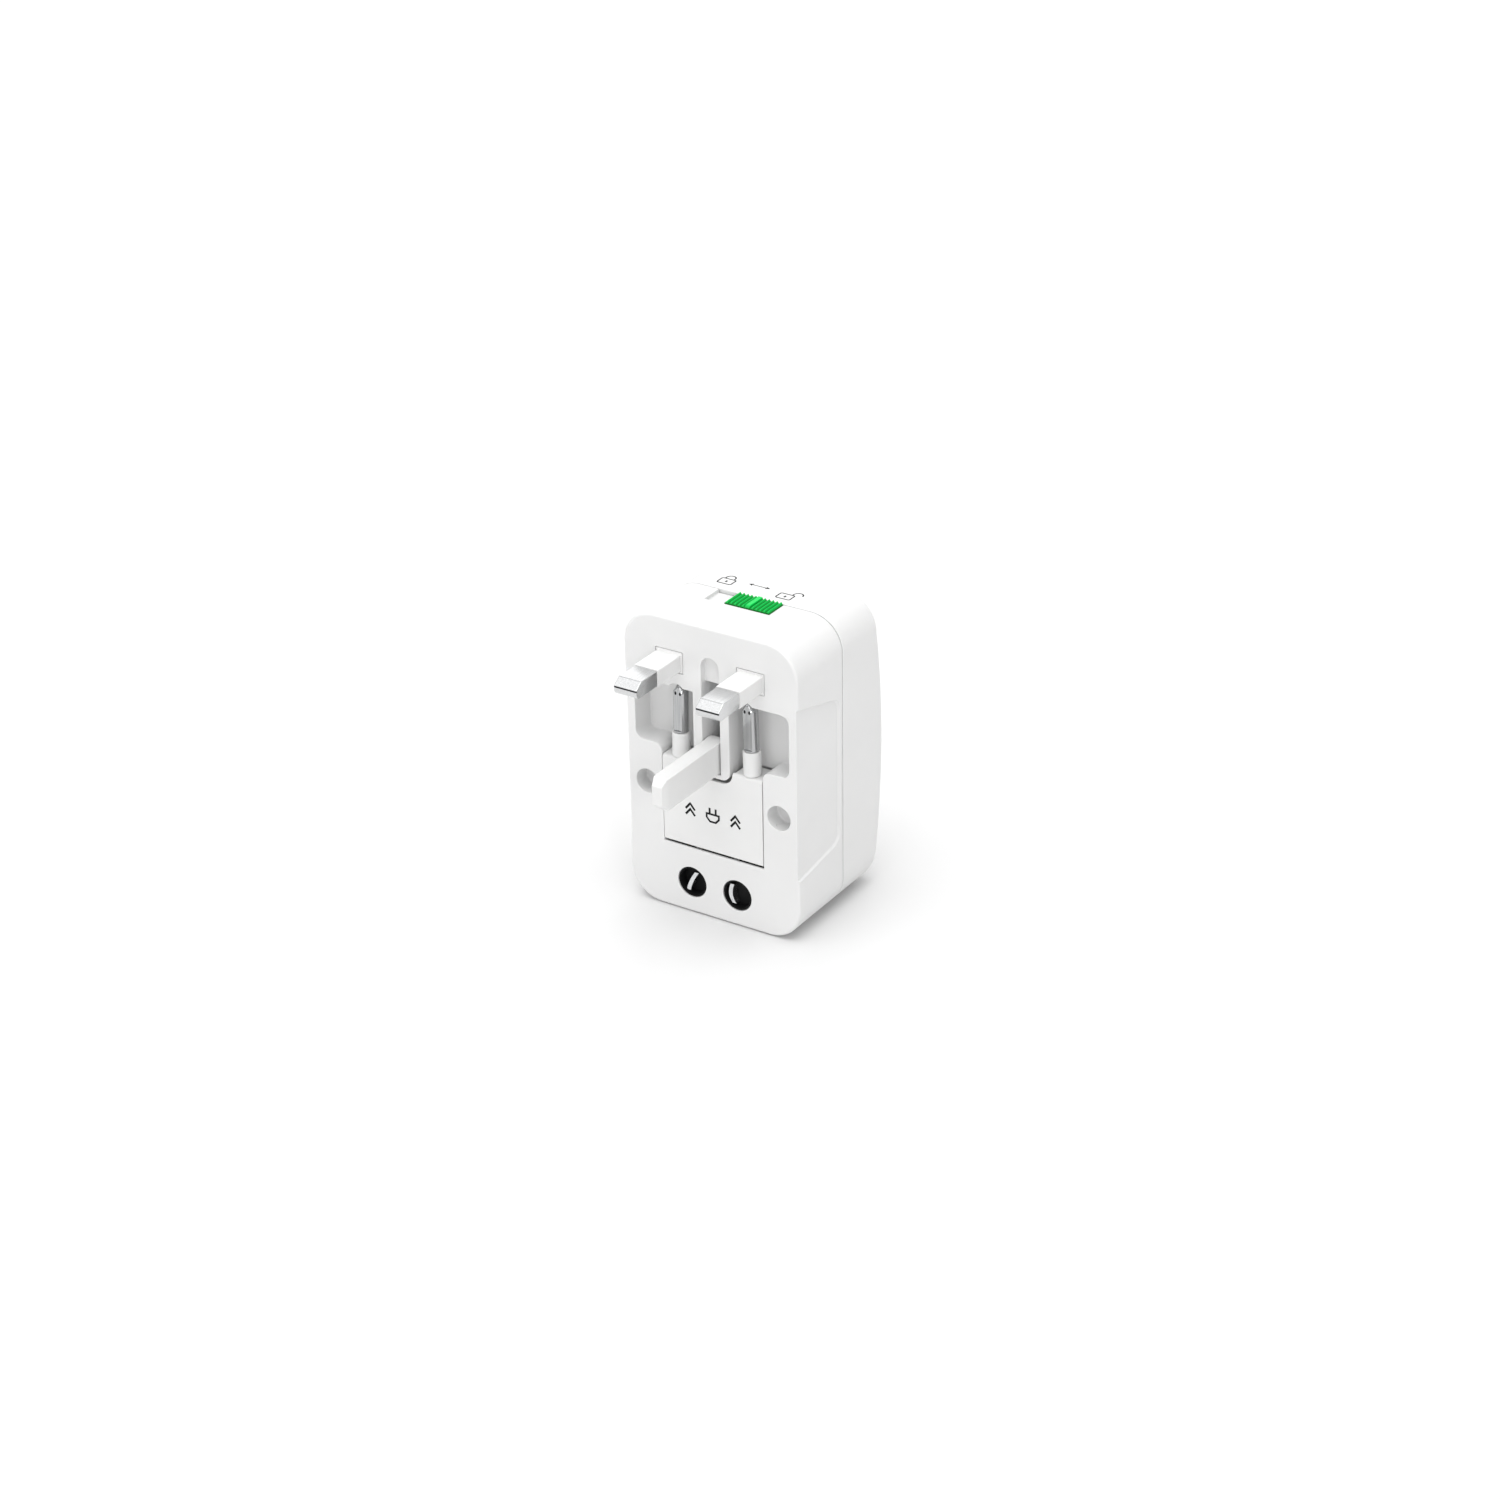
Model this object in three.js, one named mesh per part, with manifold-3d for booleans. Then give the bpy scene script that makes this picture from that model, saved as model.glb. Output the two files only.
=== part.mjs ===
// Universal travel adapter: a plug module with UK pins and a fold-out European plug,
// locked to a socket module that carries turning US/Australian blades.
// Millimetres. X runs across the plug face, Y from the plug face towards the socket, Z up.
// The origin is the centre of the plug module's underside.

import * as THREE from "three";
import { mergeVertices } from "three/addons/utils/BufferGeometryUtils.js";
import Module from "manifold-3d";

const wasm = await Module();
wasm.setup();

// ---- driving dimensions ----

const WIDTH = 47.6;
const HEIGHT = 76.2;
const CORNER = 8.5;
const WALL = 2.0;
const FACE_Y = -9.75; // plug face
const SEAM_Y = 9.75; // back rim of the plug shell
const SEAM_GAP = 0.3;
const SOCKET_Y = SEAM_Y + SEAM_GAP; // front rim of the socket shell
const CROWN_Y = 31.25; // highest point of the crowned socket face
const CROWN_DROP_X = 2.0; // how far the crown falls to the middle of a side
const CROWN_DROP_Z = 4.2; // and to the middle of the top or bottom
const BACK_FILLET = 2.4;
const FRONT_FILLET = 0.7;
const GAP = 0.2; // general clearance between fitted pieces

const PIN_Z = 65.4; // centre line of the two UK power pins
const PIN_X = 22.23 / 2;
const EARTH_Z = PIN_Z - 22.23;
const UK_METAL = { w: 6.2, h: 3.85, tip: 18.0, chamfer: 2.1 };
const UK_SLEEVE = { w: 6.5, h: 4.3, length: 9.4 };
const UK_COLLAR = { w: 7.3, h: 5.3, depth: 3.6 };

const EARTH = { w: 4.0, h: 8.0, reach: 22.7, chamfer: 1.6, pivot: 2.0, axle: 0.8, bore: 0.9 };
const CHANNEL = { half: 2.45, top: PIN_Z - 3.7, back: 8.0 };
const NAIL_GROOVE = { top: PIN_Z + 3.1, depth: 1.8 };

const POCKET = { half: 21.2, top: PIN_Z - 6.6, ledge: 43.0, depth: 8.0, above: 6.5, corner: 2.0 };
const FLOOR = 1.5; // thickness of the pocket's back wall
const ISLAND = { half: 4.95, bottom: 37.8, corner: 2.2 };

const FLAP = { half: 13.8, bottom: 17.9, top: 40.4, depth: 7.4, wall: 1.6, below: 0.6, over: 0.35,
  coverLow: 4.4, coverHigh: 5.4 };
const HINGE = { y: FACE_Y + 2.4, z: 20.1, r: 0.8, bore: 0.9, half: 15.0 };
const EURO = { base: 9.9, lean: 1.3, length: 18.8, sleeve: 6.2, r: 1.85, sleeveR: 2.15, y: FACE_Y + 2.25,
  bore: 1.55, restX: 9.47, restHalf: 2.3, restTop: 59.75 };

const WELL = { x: 6.35, z: 8.0, r: 4.0, bore: 3.55, inner: 4.35, web: 2.8, webWall: 0.4 };
const CLIP = { leg: 3.2, metal: 0.35, half: 0.45, tongue: 0.3 };
const US_BLADE = { w: 6.35, t: 1.5, reach: 15.9 };
const ROTOR = { r: 4.5, front: SOCKET_Y + 0.2, back: SOCKET_Y + 4.6, rim: 5.6 };

const SIDE_HOLE = { x: 18.3, z: 32.0, r: 3.15, depth: 4.4 };
const SLOT = { left: -9.8, right: 8.1, front: FACE_Y + 13.1, depth: 1.0 };
const SLIDER = { width: 12.3, travel: 5.2, ribs: 5, rib: 1.08, high: 0.65, crest: 0.38, stem: 0.7 };
const PLATE = { inset: WALL + GAP, thick: 1.8 };
const SOCKET_Z = 26.0; // centre line of the socket's power apertures
const SOCKET_EARTH = { half: 2.5, low: 17.3, high: 26.6, roundR: 2.6, roundUp: 13.2 };
const SCREW = { headR: 2.2, head: 1.1, shankR: 1.0, slot: 0.3 };
const PANEL = { depth: 0.5, rear: FACE_Y + 18.3, corner: 3.2, topFront: 61.3, topRear: 57.2,
  bottomFront: 16.6, bottomRear: 18.8 };

// ---- materials ----

const plain = (color, roughness, metalness) => new THREE.MeshStandardMaterial({ color, roughness, metalness });
const WHITE = plain(0xf2f2f0, 0.42, 0.0);
const IVORY = plain(0xecece8, 0.5, 0.0);
const GREEN = plain(0x00a83c, 0.45, 0.0);
const BLACK = plain(0x17171a, 0.6, 0.0);
const NICKEL = plain(0xc6c8ca, 0.26, 1.0);
const BRASS = plain(0xc9a75a, 0.35, 1.0);
const STEEL = plain(0x9c9ea1, 0.38, 1.0);

// ---- solids ----

function solid(geometry) {
  const g = geometry.index ? geometry.toNonIndexed() : geometry.clone();
  g.deleteAttribute("normal");
  g.deleteAttribute("uv");
  const merged = mergeVertices(g, 1e-4);
  return new wasm.Manifold(new wasm.Mesh({
    numProp: 3,
    vertProperties: new Float32Array(merged.attributes.position.array),
    triVerts: new Uint32Array(merged.index.array),
  }));
}

const join = (first, ...rest) => rest.reduce((sum, s) => sum.add(s), first);
const cut = (first, ...rest) => rest.reduce((left, s) => left.subtract(s), first);

function node(group, name, material, body) {
  const m = body.getMesh();
  const geometry = new THREE.BufferGeometry();
  geometry.setAttribute("position", new THREE.BufferAttribute(new Float32Array(m.vertProperties), 3));
  geometry.setIndex(new THREE.BufferAttribute(new Uint32Array(m.triVerts), 1));
  geometry.computeVertexNormals();
  const mesh = new THREE.Mesh(geometry, material);
  mesh.name = name;
  group.add(mesh);
}

function box(x0, x1, y0, y1, z0, z1) {
  const g = new THREE.BoxGeometry(x1 - x0, y1 - y0, z1 - z0);
  g.translate((x0 + x1) / 2, (y0 + y1) / 2, (z0 + z1) / 2);
  return solid(g);
}

function extruded(shape, depth, segments) {
  return new THREE.ExtrudeGeometry(shape, { depth, bevelEnabled: false, curveSegments: segments });
}

// A shape drawn in X and Z, extruded along Y.
function prismY(shape, y0, y1, segments = 3) {
  const g = extruded(shape, y1 - y0, segments);
  g.rotateX(Math.PI / 2);
  g.translate(0, y1, 0);
  return solid(g);
}

// A shape drawn in Y and Z, extruded along X.
function prismX(shape, x0, x1, segments = 3) {
  const g = extruded(shape, x1 - x0, segments);
  g.applyMatrix4(new THREE.Matrix4().makeBasis(
    new THREE.Vector3(0, 1, 0), new THREE.Vector3(0, 0, 1), new THREE.Vector3(1, 0, 0)));
  g.translate(x0, 0, 0);
  return solid(g);
}

function prismZ(shape, z0, z1, segments = 3) {
  const g = extruded(shape, z1 - z0, segments);
  g.translate(0, 0, z0);
  return solid(g);
}

function roundRect(x0, x1, z0, z1, r) {
  const s = new THREE.Shape();
  s.moveTo(x0 + r, z0);
  s.lineTo(x1 - r, z0);
  s.absarc(x1 - r, z0 + r, r, -Math.PI / 2, 0);
  s.lineTo(x1, z1 - r);
  s.absarc(x1 - r, z1 - r, r, 0, Math.PI / 2);
  s.lineTo(x0 + r, z1);
  s.absarc(x0 + r, z1 - r, r, Math.PI / 2, Math.PI);
  s.lineTo(x0, z0 + r);
  s.absarc(x0 + r, z0 + r, r, Math.PI, 1.5 * Math.PI);
  return s;
}

const rect = (x0, x1, z0, z1) => polygon([[x0, z0], [x1, z0], [x1, z1], [x0, z1]]);

function polygon(points) {
  return new THREE.Shape(points.map(([a, b]) => new THREE.Vector2(a, b)));
}

function disc(x, z, r) {
  const s = new THREE.Shape();
  s.absarc(x, z, r, 0, 2 * Math.PI);
  return s;
}

// Rods: a full circle gets twice this many sides.
const rodY = (x, z, r, y0, y1, segments = 10) => prismY(disc(x, z, r), y0, y1, segments);
const rodX = (y, z, r, x0, x1, segments = 8) => prismX(disc(y, z, r), x0, x1, segments);

// ---- the body's outline and crown ----

// Points round the body's outline, moved in by inset, with the straight sides divided.
function outline(inset, arcs = 5, across = 3, up = 5) {
  const r = Math.max(CORNER - inset, 0.4);
  const halfW = WIDTH / 2 - inset;
  const low = inset;
  const high = HEIGHT - inset;
  const corners = [
    [halfW - r, low + r, -90], [halfW - r, high - r, 0], [-halfW + r, high - r, 90], [-halfW + r, low + r, 180],
  ];
  const points = [];
  corners.forEach(([cx, cz, start], i) => {
    for (let k = 0; k <= arcs; k += 1) {
      const a = THREE.MathUtils.degToRad(start + (90 * k) / arcs);
      points.push([cx + r * Math.cos(a), cz + r * Math.sin(a)]);
    }
    const last = points[points.length - 1];
    const [nx, nz, nextStart] = corners[(i + 1) % 4];
    const b = THREE.MathUtils.degToRad(nextStart);
    const next = [nx + r * Math.cos(b), nz + r * Math.sin(b)];
    const steps = i % 2 === 0 ? up : across;
    for (let k = 1; k < steps; k += 1) {
      const t = k / steps;
      points.push([last[0] + (next[0] - last[0]) * t, last[1] + (next[1] - last[1]) * t]);
    }
  });
  return points;
}

// Height of the crowned socket face over a point.
function crown(x, z) {
  const u = x / (WIDTH / 2);
  const v = (z - HEIGHT / 2) / (HEIGHT / 2);
  return CROWN_Y - CROWN_DROP_X * u * u - CROWN_DROP_Z * v * v;
}

// A closed skin through rings of equal point counts, capped at both ends.
// The rings run from low Y to high Y, and each is anticlockwise seen from low Y.
function loft(rings) {
  const n = rings[0].length;
  const vertices = rings.flat();
  const faces = [];
  for (let r = 0; r + 1 < rings.length; r += 1) {
    for (let k = 0; k < n; k += 1) {
      const a = r * n + k;
      const b = r * n + ((k + 1) % n);
      faces.push(a, b, b + n, a, b + n, a + n);
    }
  }
  const flat = (ring) => ring.map(([x, , z]) => new THREE.Vector2(x, z));
  const top = (rings.length - 1) * n;
  THREE.ShapeUtils.triangulateShape(flat(rings[0]), []).forEach(([a, b, c]) => faces.push(a, c, b));
  THREE.ShapeUtils.triangulateShape(flat(rings[rings.length - 1]), [])
    .forEach(([a, b, c]) => faces.push(top + a, top + b, top + c));
  const g = new THREE.BufferGeometry();
  g.setAttribute("position", new THREE.BufferAttribute(new Float32Array(vertices.flat()), 3));
  g.setIndex(faces);
  const made = solid(g);
  return made.volume() > 0 ? made : solid(flipped(g));
}

function flipped(g) {
  const index = g.index.array;
  for (let i = 0; i < index.length; i += 3) {
    [index[i + 1], index[i + 2]] = [index[i + 2], index[i + 1]];
  }
  return g;
}

const flatRing = (inset, y, ...divisions) => outline(inset, ...divisions).map(([x, z]) => [x, y, z]);
const bodySlab = (inset, y0, y1) => loft([flatRing(inset, y0, 5, 1, 1), flatRing(inset, y1, 5, 1, 1)]);

// The body from one Y to the crown, inset all over by the same amount.
function crownedBody(inset, y0, fillet) {
  const rings = [flatRing(inset, y0)];
  const steps = 4;
  for (let k = 0; k <= steps; k += 1) {
    const a = (k / steps) * (Math.PI / 2);
    const pull = fillet * (1 - Math.cos(a));
    const drop = fillet * (1 - Math.sin(a));
    rings.push(outline(inset + pull).map(([x, z]) => [x, crown(x, z) - inset - drop, z]));
  }
  const inner = outline(inset + fillet);
  [0.66, 0.33, 0.05].forEach((t) => {
    rings.push(inner.map(([x, z]) => {
      const px = x * t;
      const pz = HEIGHT / 2 + (z - HEIGHT / 2) * t;
      return [px, crown(px, pz) - inset, pz];
    }));
  });
  return loft(rings);
}

// ---- plug module ----

function plugShell() {
  const rings = [0, 0.5, 1].map((t) => {
    const a = (t * Math.PI) / 2;
    return flatRing(FRONT_FILLET * (1 - Math.sin(a)), FACE_Y + FRONT_FILLET * (1 - Math.cos(a)), 7, 1, 1);
  });
  const outer = loft([...rings, flatRing(0, SEAM_Y, 7, 1, 1)]);
  const hollow = bodySlab(WALL, FACE_Y + WALL, SEAM_Y + 1);
  const back = FACE_Y + POCKET.depth;
  const above = FACE_Y + POCKET.above;
  const restBack = EURO.y + EURO.r + 0.4;
  const blocks = join(
    prismY(roundRect(-POCKET.half - 1.6, POCKET.half + 1.6, POCKET.ledge - 1.6, POCKET.top + 1.6, 3),
      FACE_Y + 1, back + FLOOR),
    prismY(rect(-FLAP.half - 1.8, FLAP.half + 1.8, FLAP.bottom - 4.2, POCKET.ledge + 2),
      FACE_Y + 1, back + FLOOR),
    prismY(roundRect(-4.2, 4.2, POCKET.top - 1, CHANNEL.top + 1.6, 1), FACE_Y + 1, back + FLOOR),
    prismY(roundRect(-4.2, 4.2, CHANNEL.top - 2, NAIL_GROOVE.top + 1.6, 3),
      FACE_Y + 1, FACE_Y + NAIL_GROOVE.depth + 1.5),
    ...[-1, 1].map((s) => prismY(pinRest(s, 1.0), FACE_Y + 1, restBack + 1.1)),
    ...[-1, 1].map((s) => rodY(s * SIDE_HOLE.x, SIDE_HOLE.z, SIDE_HOLE.r + 1.1, FACE_Y + 1, back)),
    ...[-1, 1].map((s) => rodY(s * SIDE_HOLE.x, SIDE_HOLE.z, 2.4, back - 1, SEAM_Y - PLATE.thick - 0.3)),
    prismY(rect(SLOT.left - 1, SLOT.right + 1, HEIGHT - 3.4, HEIGHT - 1),
      SLOT.front - 1.2, SEAM_Y - PLATE.thick - 0.3),
  );
  const lip = 0.6;
  const cavity = cut(
    join(
      prismY(roundRect(-POCKET.half, POCKET.half, POCKET.ledge, POCKET.top, POCKET.corner), FACE_Y - 1, above),
      prismY(flapOpening(), FACE_Y - 1, above),
      prismY(rect(-FLAP.half - GAP, FLAP.half + GAP, FLAP.bottom - FLAP.below, FLAP.top + FLAP.over),
        FACE_Y - 1, back),
      ...[-1, 1].map((s) => prismY(pinRest(s, 0), FACE_Y - 1, restBack)),
      prismY(rect(-FLAP.half - GAP, FLAP.half + GAP, FLAP.bottom - 2.6, FLAP.bottom), FACE_Y + lip, back),
    ),
    prismY(islandShape(0), FACE_Y - 2, back + 1),
  );
  const channel = join(
    prismY(rect(-CHANNEL.half, CHANNEL.half, EARTH_Z - EARTH.h / 2 - 0.3, CHANNEL.top),
      FACE_Y - 1, FACE_Y + CHANNEL.back),
    prismY(roundRect(-CHANNEL.half, CHANNEL.half, CHANNEL.top - 4, NAIL_GROOVE.top, CHANNEL.half), FACE_Y - 1,
      FACE_Y + NAIL_GROOVE.depth),
  );
  const ribs = [-1, 1].map((s) =>
    box(s * 5.3 - 0.65, s * 5.3 + 0.65, FACE_Y + 0.4, FACE_Y + 2.0, FLAP.bottom - 2.8, FLAP.bottom - 1.2));
  const holes = [-1, 1].flatMap((s) => [
    prismY(collarShape(s, 0.15), FACE_Y - 1, FACE_Y + WALL + 1),
    rodY(s * SIDE_HOLE.x, SIDE_HOLE.z, SIDE_HOLE.r, FACE_Y - 1, FACE_Y + SIDE_HOLE.depth),
    rodY(s * SIDE_HOLE.x, SIDE_HOLE.z, SCREW.shankR + 0.15, FACE_Y + SIDE_HOLE.depth + 1.4, SEAM_Y),
    rodY(s * WELL.x, WELL.z, WELL.r, FACE_Y - 1, FACE_Y + WALL + 1, 14),
    panelCut(s),
  ]);
  return cut(
    join(cut(join(cut(outer, hollow), blocks), cavity), ...ribs),
    channel, ...holes,
    rodX(HINGE.y, HINGE.z, HINGE.r + 0.06, -HINGE.half - 0.2, HINGE.half + 0.2),
    rodX(FACE_Y + EARTH.pivot, EARTH_Z, EARTH.axle + 0.06, -ISLAND.half + 0.5, ISLAND.half - 0.5),
    prismY(rect(SLOT.left, SLOT.right, HEIGHT - SLOT.depth, HEIGHT + 1), SLOT.front, SEAM_Y + 1),
    prismY(stemRun(), SLOT.front + 1.6, SEAM_Y - 2.2),
  );
}

// The recess over the pocket that a European pin's tip rests in.
function pinRest(s, grow) {
  const x = s * EURO.restX;
  const half = EURO.restHalf + grow;
  return roundRect(x - half, x + half, POCKET.top - 6, EURO.restTop + grow, EURO.restHalf - 0.1);
}

// The slot that the slider's stem runs in; the slider's cap always covers it.
function stemRun() {
  const stemX = SLOT.right - 0.15 - SLIDER.width / 2;
  return rect(stemX - SLIDER.travel - SLIDER.stem - 0.12, stemX + SLIDER.stem + 0.12, HEIGHT - 5, HEIGHT);
}

// The flap's opening, widening to the finger pockets round a convex corner.
function flapOpening() {
  const half = FLAP.half + GAP;
  const r = 2.0;
  const s = new THREE.Shape();
  s.moveTo(-half, FLAP.bottom - FLAP.below);
  s.lineTo(half, FLAP.bottom - FLAP.below);
  s.lineTo(half, POCKET.ledge - r);
  s.absarc(half + r, POCKET.ledge - r, r, Math.PI, Math.PI / 2, true);
  s.lineTo(half + r, POCKET.ledge + 1);
  s.lineTo(-half - r, POCKET.ledge + 1);
  s.lineTo(-half - r, POCKET.ledge);
  s.absarc(-half - r, POCKET.ledge - r, r, Math.PI / 2, 0, true);
  return s;
}

const islandShape = (grow) => roundRect(-ISLAND.half - grow, ISLAND.half + grow, ISLAND.bottom - grow,
  POCKET.top + 4, ISLAND.corner + grow);

const collarShape = (s, grow) => rect(s * PIN_X - UK_COLLAR.w / 2 - grow, s * PIN_X + UK_COLLAR.w / 2 + grow,
  PIN_Z - UK_COLLAR.h / 2 - grow, PIN_Z + UK_COLLAR.h / 2 + grow);

// The shallow finger panel in one side, open at the plug face and narrowing to the rear.
function panelCut(side) {
  const s = new THREE.Shape();
  const r = PANEL.corner;
  s.moveTo(FACE_Y - 1, PANEL.bottomFront - 0.15);
  s.lineTo(PANEL.rear - r, PANEL.bottomRear);
  s.absarc(PANEL.rear - r, PANEL.bottomRear + r, r, -Math.PI / 2, 0);
  s.lineTo(PANEL.rear, PANEL.topRear - r);
  s.absarc(PANEL.rear - r, PANEL.topRear - r, r, 0, Math.PI / 2);
  s.lineTo(FACE_Y - 1, PANEL.topFront + 0.2);
  const inner = WIDTH / 2 - PANEL.depth;
  return side > 0 ? prismX(s, inner, WIDTH / 2 + 1) : prismX(s, -WIDTH / 2 - 1, -inner);
}

function plugBackPlate() {
  const y0 = SEAM_Y - PLATE.thick;
  const latchRun = rect(-5.1, 3.4, 67.9, 70.1);
  return cut(
    bodySlab(PLATE.inset, y0, SEAM_Y),
    ...[-1, 1].flatMap((s) => [
      rodY(s * WELL.x, WELL.z, WELL.inner, y0 - 1, SEAM_Y + 1),
      rodY(s * SIDE_HOLE.x, SIDE_HOLE.z, SCREW.shankR + 0.4, y0 - 1, SEAM_Y + 1),
      rodY(s * SIDE_HOLE.x, SIDE_HOLE.z, SCREW.headR + 0.3, SEAM_Y - 1.4, SEAM_Y + 1),
    ]),
    prismY(latchRun, y0 - 1, SEAM_Y + 1),
  );
}

function ukSleeve(s) {
  const x = s * PIN_X;
  const y0 = FACE_Y - UK_SLEEVE.length;
  const half = UK_SLEEVE.w / 2;
  const tall = UK_SLEEVE.h / 2;
  const flange = rect(x - 4.6, x + 4.6, PIN_Z - 3.6, PIN_Z + 3.6);
  return cut(
    join(
      prismY(roundRect(x - half, x + half, PIN_Z - tall, PIN_Z + tall, 0.35), y0, FACE_Y + 1, 2),
      prismY(collarShape(s, 0), FACE_Y, FACE_Y + UK_COLLAR.depth),
      prismY(flange, FACE_Y + WALL + 0.2, FACE_Y + UK_COLLAR.depth + 0.6),
    ),
    box(x - UK_METAL.w / 2 + 0.5, x + UK_METAL.w / 2 - 0.5, y0 - 1, FACE_Y + 6,
      PIN_Z - UK_METAL.h / 2 + 0.5, PIN_Z + UK_METAL.h / 2 - 0.5),
  );
}

// A flat-topped pin with a long upper chamfer and a rounded lower nose.
function ukBlade(s) {
  const x = s * PIN_X;
  const tip = FACE_Y - UK_METAL.tip;
  const shoulder = FACE_Y - UK_SLEEVE.length - 0.1;
  const top = PIN_Z + UK_METAL.h / 2;
  const bottom = PIN_Z - UK_METAL.h / 2;
  const nose = 1.3;
  const side = new THREE.Shape();
  side.moveTo(shoulder, bottom);
  side.lineTo(shoulder, top);
  side.lineTo(tip + UK_METAL.chamfer, top);
  side.lineTo(tip, top - 1.6);
  side.lineTo(tip, bottom + nose);
  side.absarc(tip + nose, bottom + nose, nose, Math.PI, 1.5 * Math.PI);
  const core = 0.75;
  return join(
    prismX(side, x - UK_METAL.w / 2, x + UK_METAL.w / 2, 4),
    box(x - UK_METAL.w / 2 + core, x + UK_METAL.w / 2 - core, shoulder - 0.5, FACE_Y + 9.6,
      bottom + core, top - core),
  );
}

// ---- earth pin ----

function earthPin() {
  const pivotY = FACE_Y + EARTH.pivot;
  const tip = FACE_Y - EARTH.reach;
  const low = EARTH_Z - EARTH.h / 2;
  const high = EARTH_Z + EARTH.h / 2;
  const c = EARTH.chamfer;
  const r = EARTH.h / 2;
  const side = new THREE.Shape();
  side.moveTo(pivotY, low);
  side.absarc(pivotY, EARTH_Z, r, -Math.PI / 2, Math.PI / 2);
  side.lineTo(tip + c, high);
  side.lineTo(tip, high - c);
  side.lineTo(tip, low + c);
  side.lineTo(tip + c, low);
  const half = EARTH.w / 2;
  const plan = polygon([
    [-half - 0.2, FACE_Y + 1.2], [-half, FACE_Y + 0.2], [-half, tip + c * 1.4], [-half + 0.7, tip - 0.1],
    [half - 0.7, tip - 0.1], [half, tip + c * 1.4], [half, FACE_Y + 0.2], [half + 0.2, FACE_Y + 1.2],
    [half + 0.2, pivotY + r + 1], [-half - 0.2, pivotY + r + 1],
  ]);
  return cut(
    prismX(side, -half - 1, half + 1, 6).intersect(prismZ(plan, low - 1, high + 1)),
    rodX(pivotY, EARTH_Z, EARTH.bore, -half - 1, half + 1),
  );
}

// ---- European flap ----

function euroFlap() {
  const y0 = FACE_Y;
  const y1 = FACE_Y + FLAP.depth;
  const soft = 0.8;
  const side = new THREE.Shape();
  side.moveTo(y0 + 0.5, FLAP.bottom);
  side.lineTo(y1 - 0.6, FLAP.bottom);
  side.lineTo(y1, FLAP.bottom + 0.6);
  side.lineTo(y1, FLAP.top - 1.2);
  side.lineTo(y1 - 1.2, FLAP.top);
  side.lineTo(y0 + soft, FLAP.top);
  side.absarc(y0 + soft, FLAP.top - soft, soft, Math.PI / 2, Math.PI);
  side.lineTo(y0, FLAP.bottom + 0.5);
  side.absarc(y0 + 0.5, FLAP.bottom + 0.5, 0.5, Math.PI, 1.5 * Math.PI);
  const notch = (beside, below) => roundRect(-ISLAND.half - beside, ISLAND.half + beside, ISLAND.bottom - below,
    FLAP.top + 6, ISLAND.corner + beside);
  const inner = box(-FLAP.half + FLAP.wall, FLAP.half - FLAP.wall, y0 + 4.6, y1 + 1,
    FLAP.bottom + FLAP.coverLow, FLAP.top - FLAP.coverHigh);
  return cut(
    prismX(side, -FLAP.half, FLAP.half, 4),
    prismY(notch(0.75, 0.8), y0 - 1, y1 + 1),
    prismY(notch(1.2, 2.2), y0 + 0.7, y1 + 1),
    inner,
    rodX(HINGE.y, HINGE.z, HINGE.bore, -FLAP.half - 1, FLAP.half + 1),
    ...[-1, 1].map((s) => rodZ(s * EURO.base, EURO.y, EURO.bore, FLAP.top - 4, FLAP.top + 1)),
  );
}

// A cylinder along Z.
function rodZ(x, y, r, z0, z1, segments = 16) {
  const g = new THREE.CylinderGeometry(r, r, z1 - z0, segments);
  g.rotateX(Math.PI / 2);
  g.translate(x, y, (z0 + z1) / 2);
  return solid(g);
}

function flapCover() {
  const inset = FLAP.wall + GAP;
  return box(-FLAP.half + inset, FLAP.half - inset, FACE_Y + FLAP.depth - 1.2, FACE_Y + FLAP.depth,
    FLAP.bottom + FLAP.coverLow + GAP, FLAP.top - FLAP.coverHigh - GAP);
}

// A turned piece on the European pin's own leaning axis: profile rows are [radius, height].
function euroTurned(s, profile, segments = 16) {
  const g = new THREE.LatheGeometry(profile.map(([r, h]) => new THREE.Vector2(r, h)), segments);
  g.rotateX(Math.PI / 2);
  g.rotateY(THREE.MathUtils.degToRad(-s * EURO.lean));
  g.translate(s * EURO.base, EURO.y, FLAP.top);
  return solid(g);
}

function euroPin(s) {
  const r = EURO.r;
  const top = EURO.length;
  const neck = 1.3;
  return euroTurned(s, [
    [0, -3.4], [neck, -3.4], [neck, EURO.sleeve + 0.1], [r, EURO.sleeve + 0.1], [r, top - 2.2],
    [r * 0.34, top - 0.25], [0, top],
  ]);
}

function euroSleeve(s) {
  return euroTurned(s, [
    [1.42, 0.1], [EURO.sleeveR, 0.1], [EURO.sleeveR, EURO.sleeve - 0.15], [EURO.sleeveR - 0.15, EURO.sleeve],
    [1.42, EURO.sleeve], [1.42, 0.1],
  ]);
}

// ---- lock ----

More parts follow.
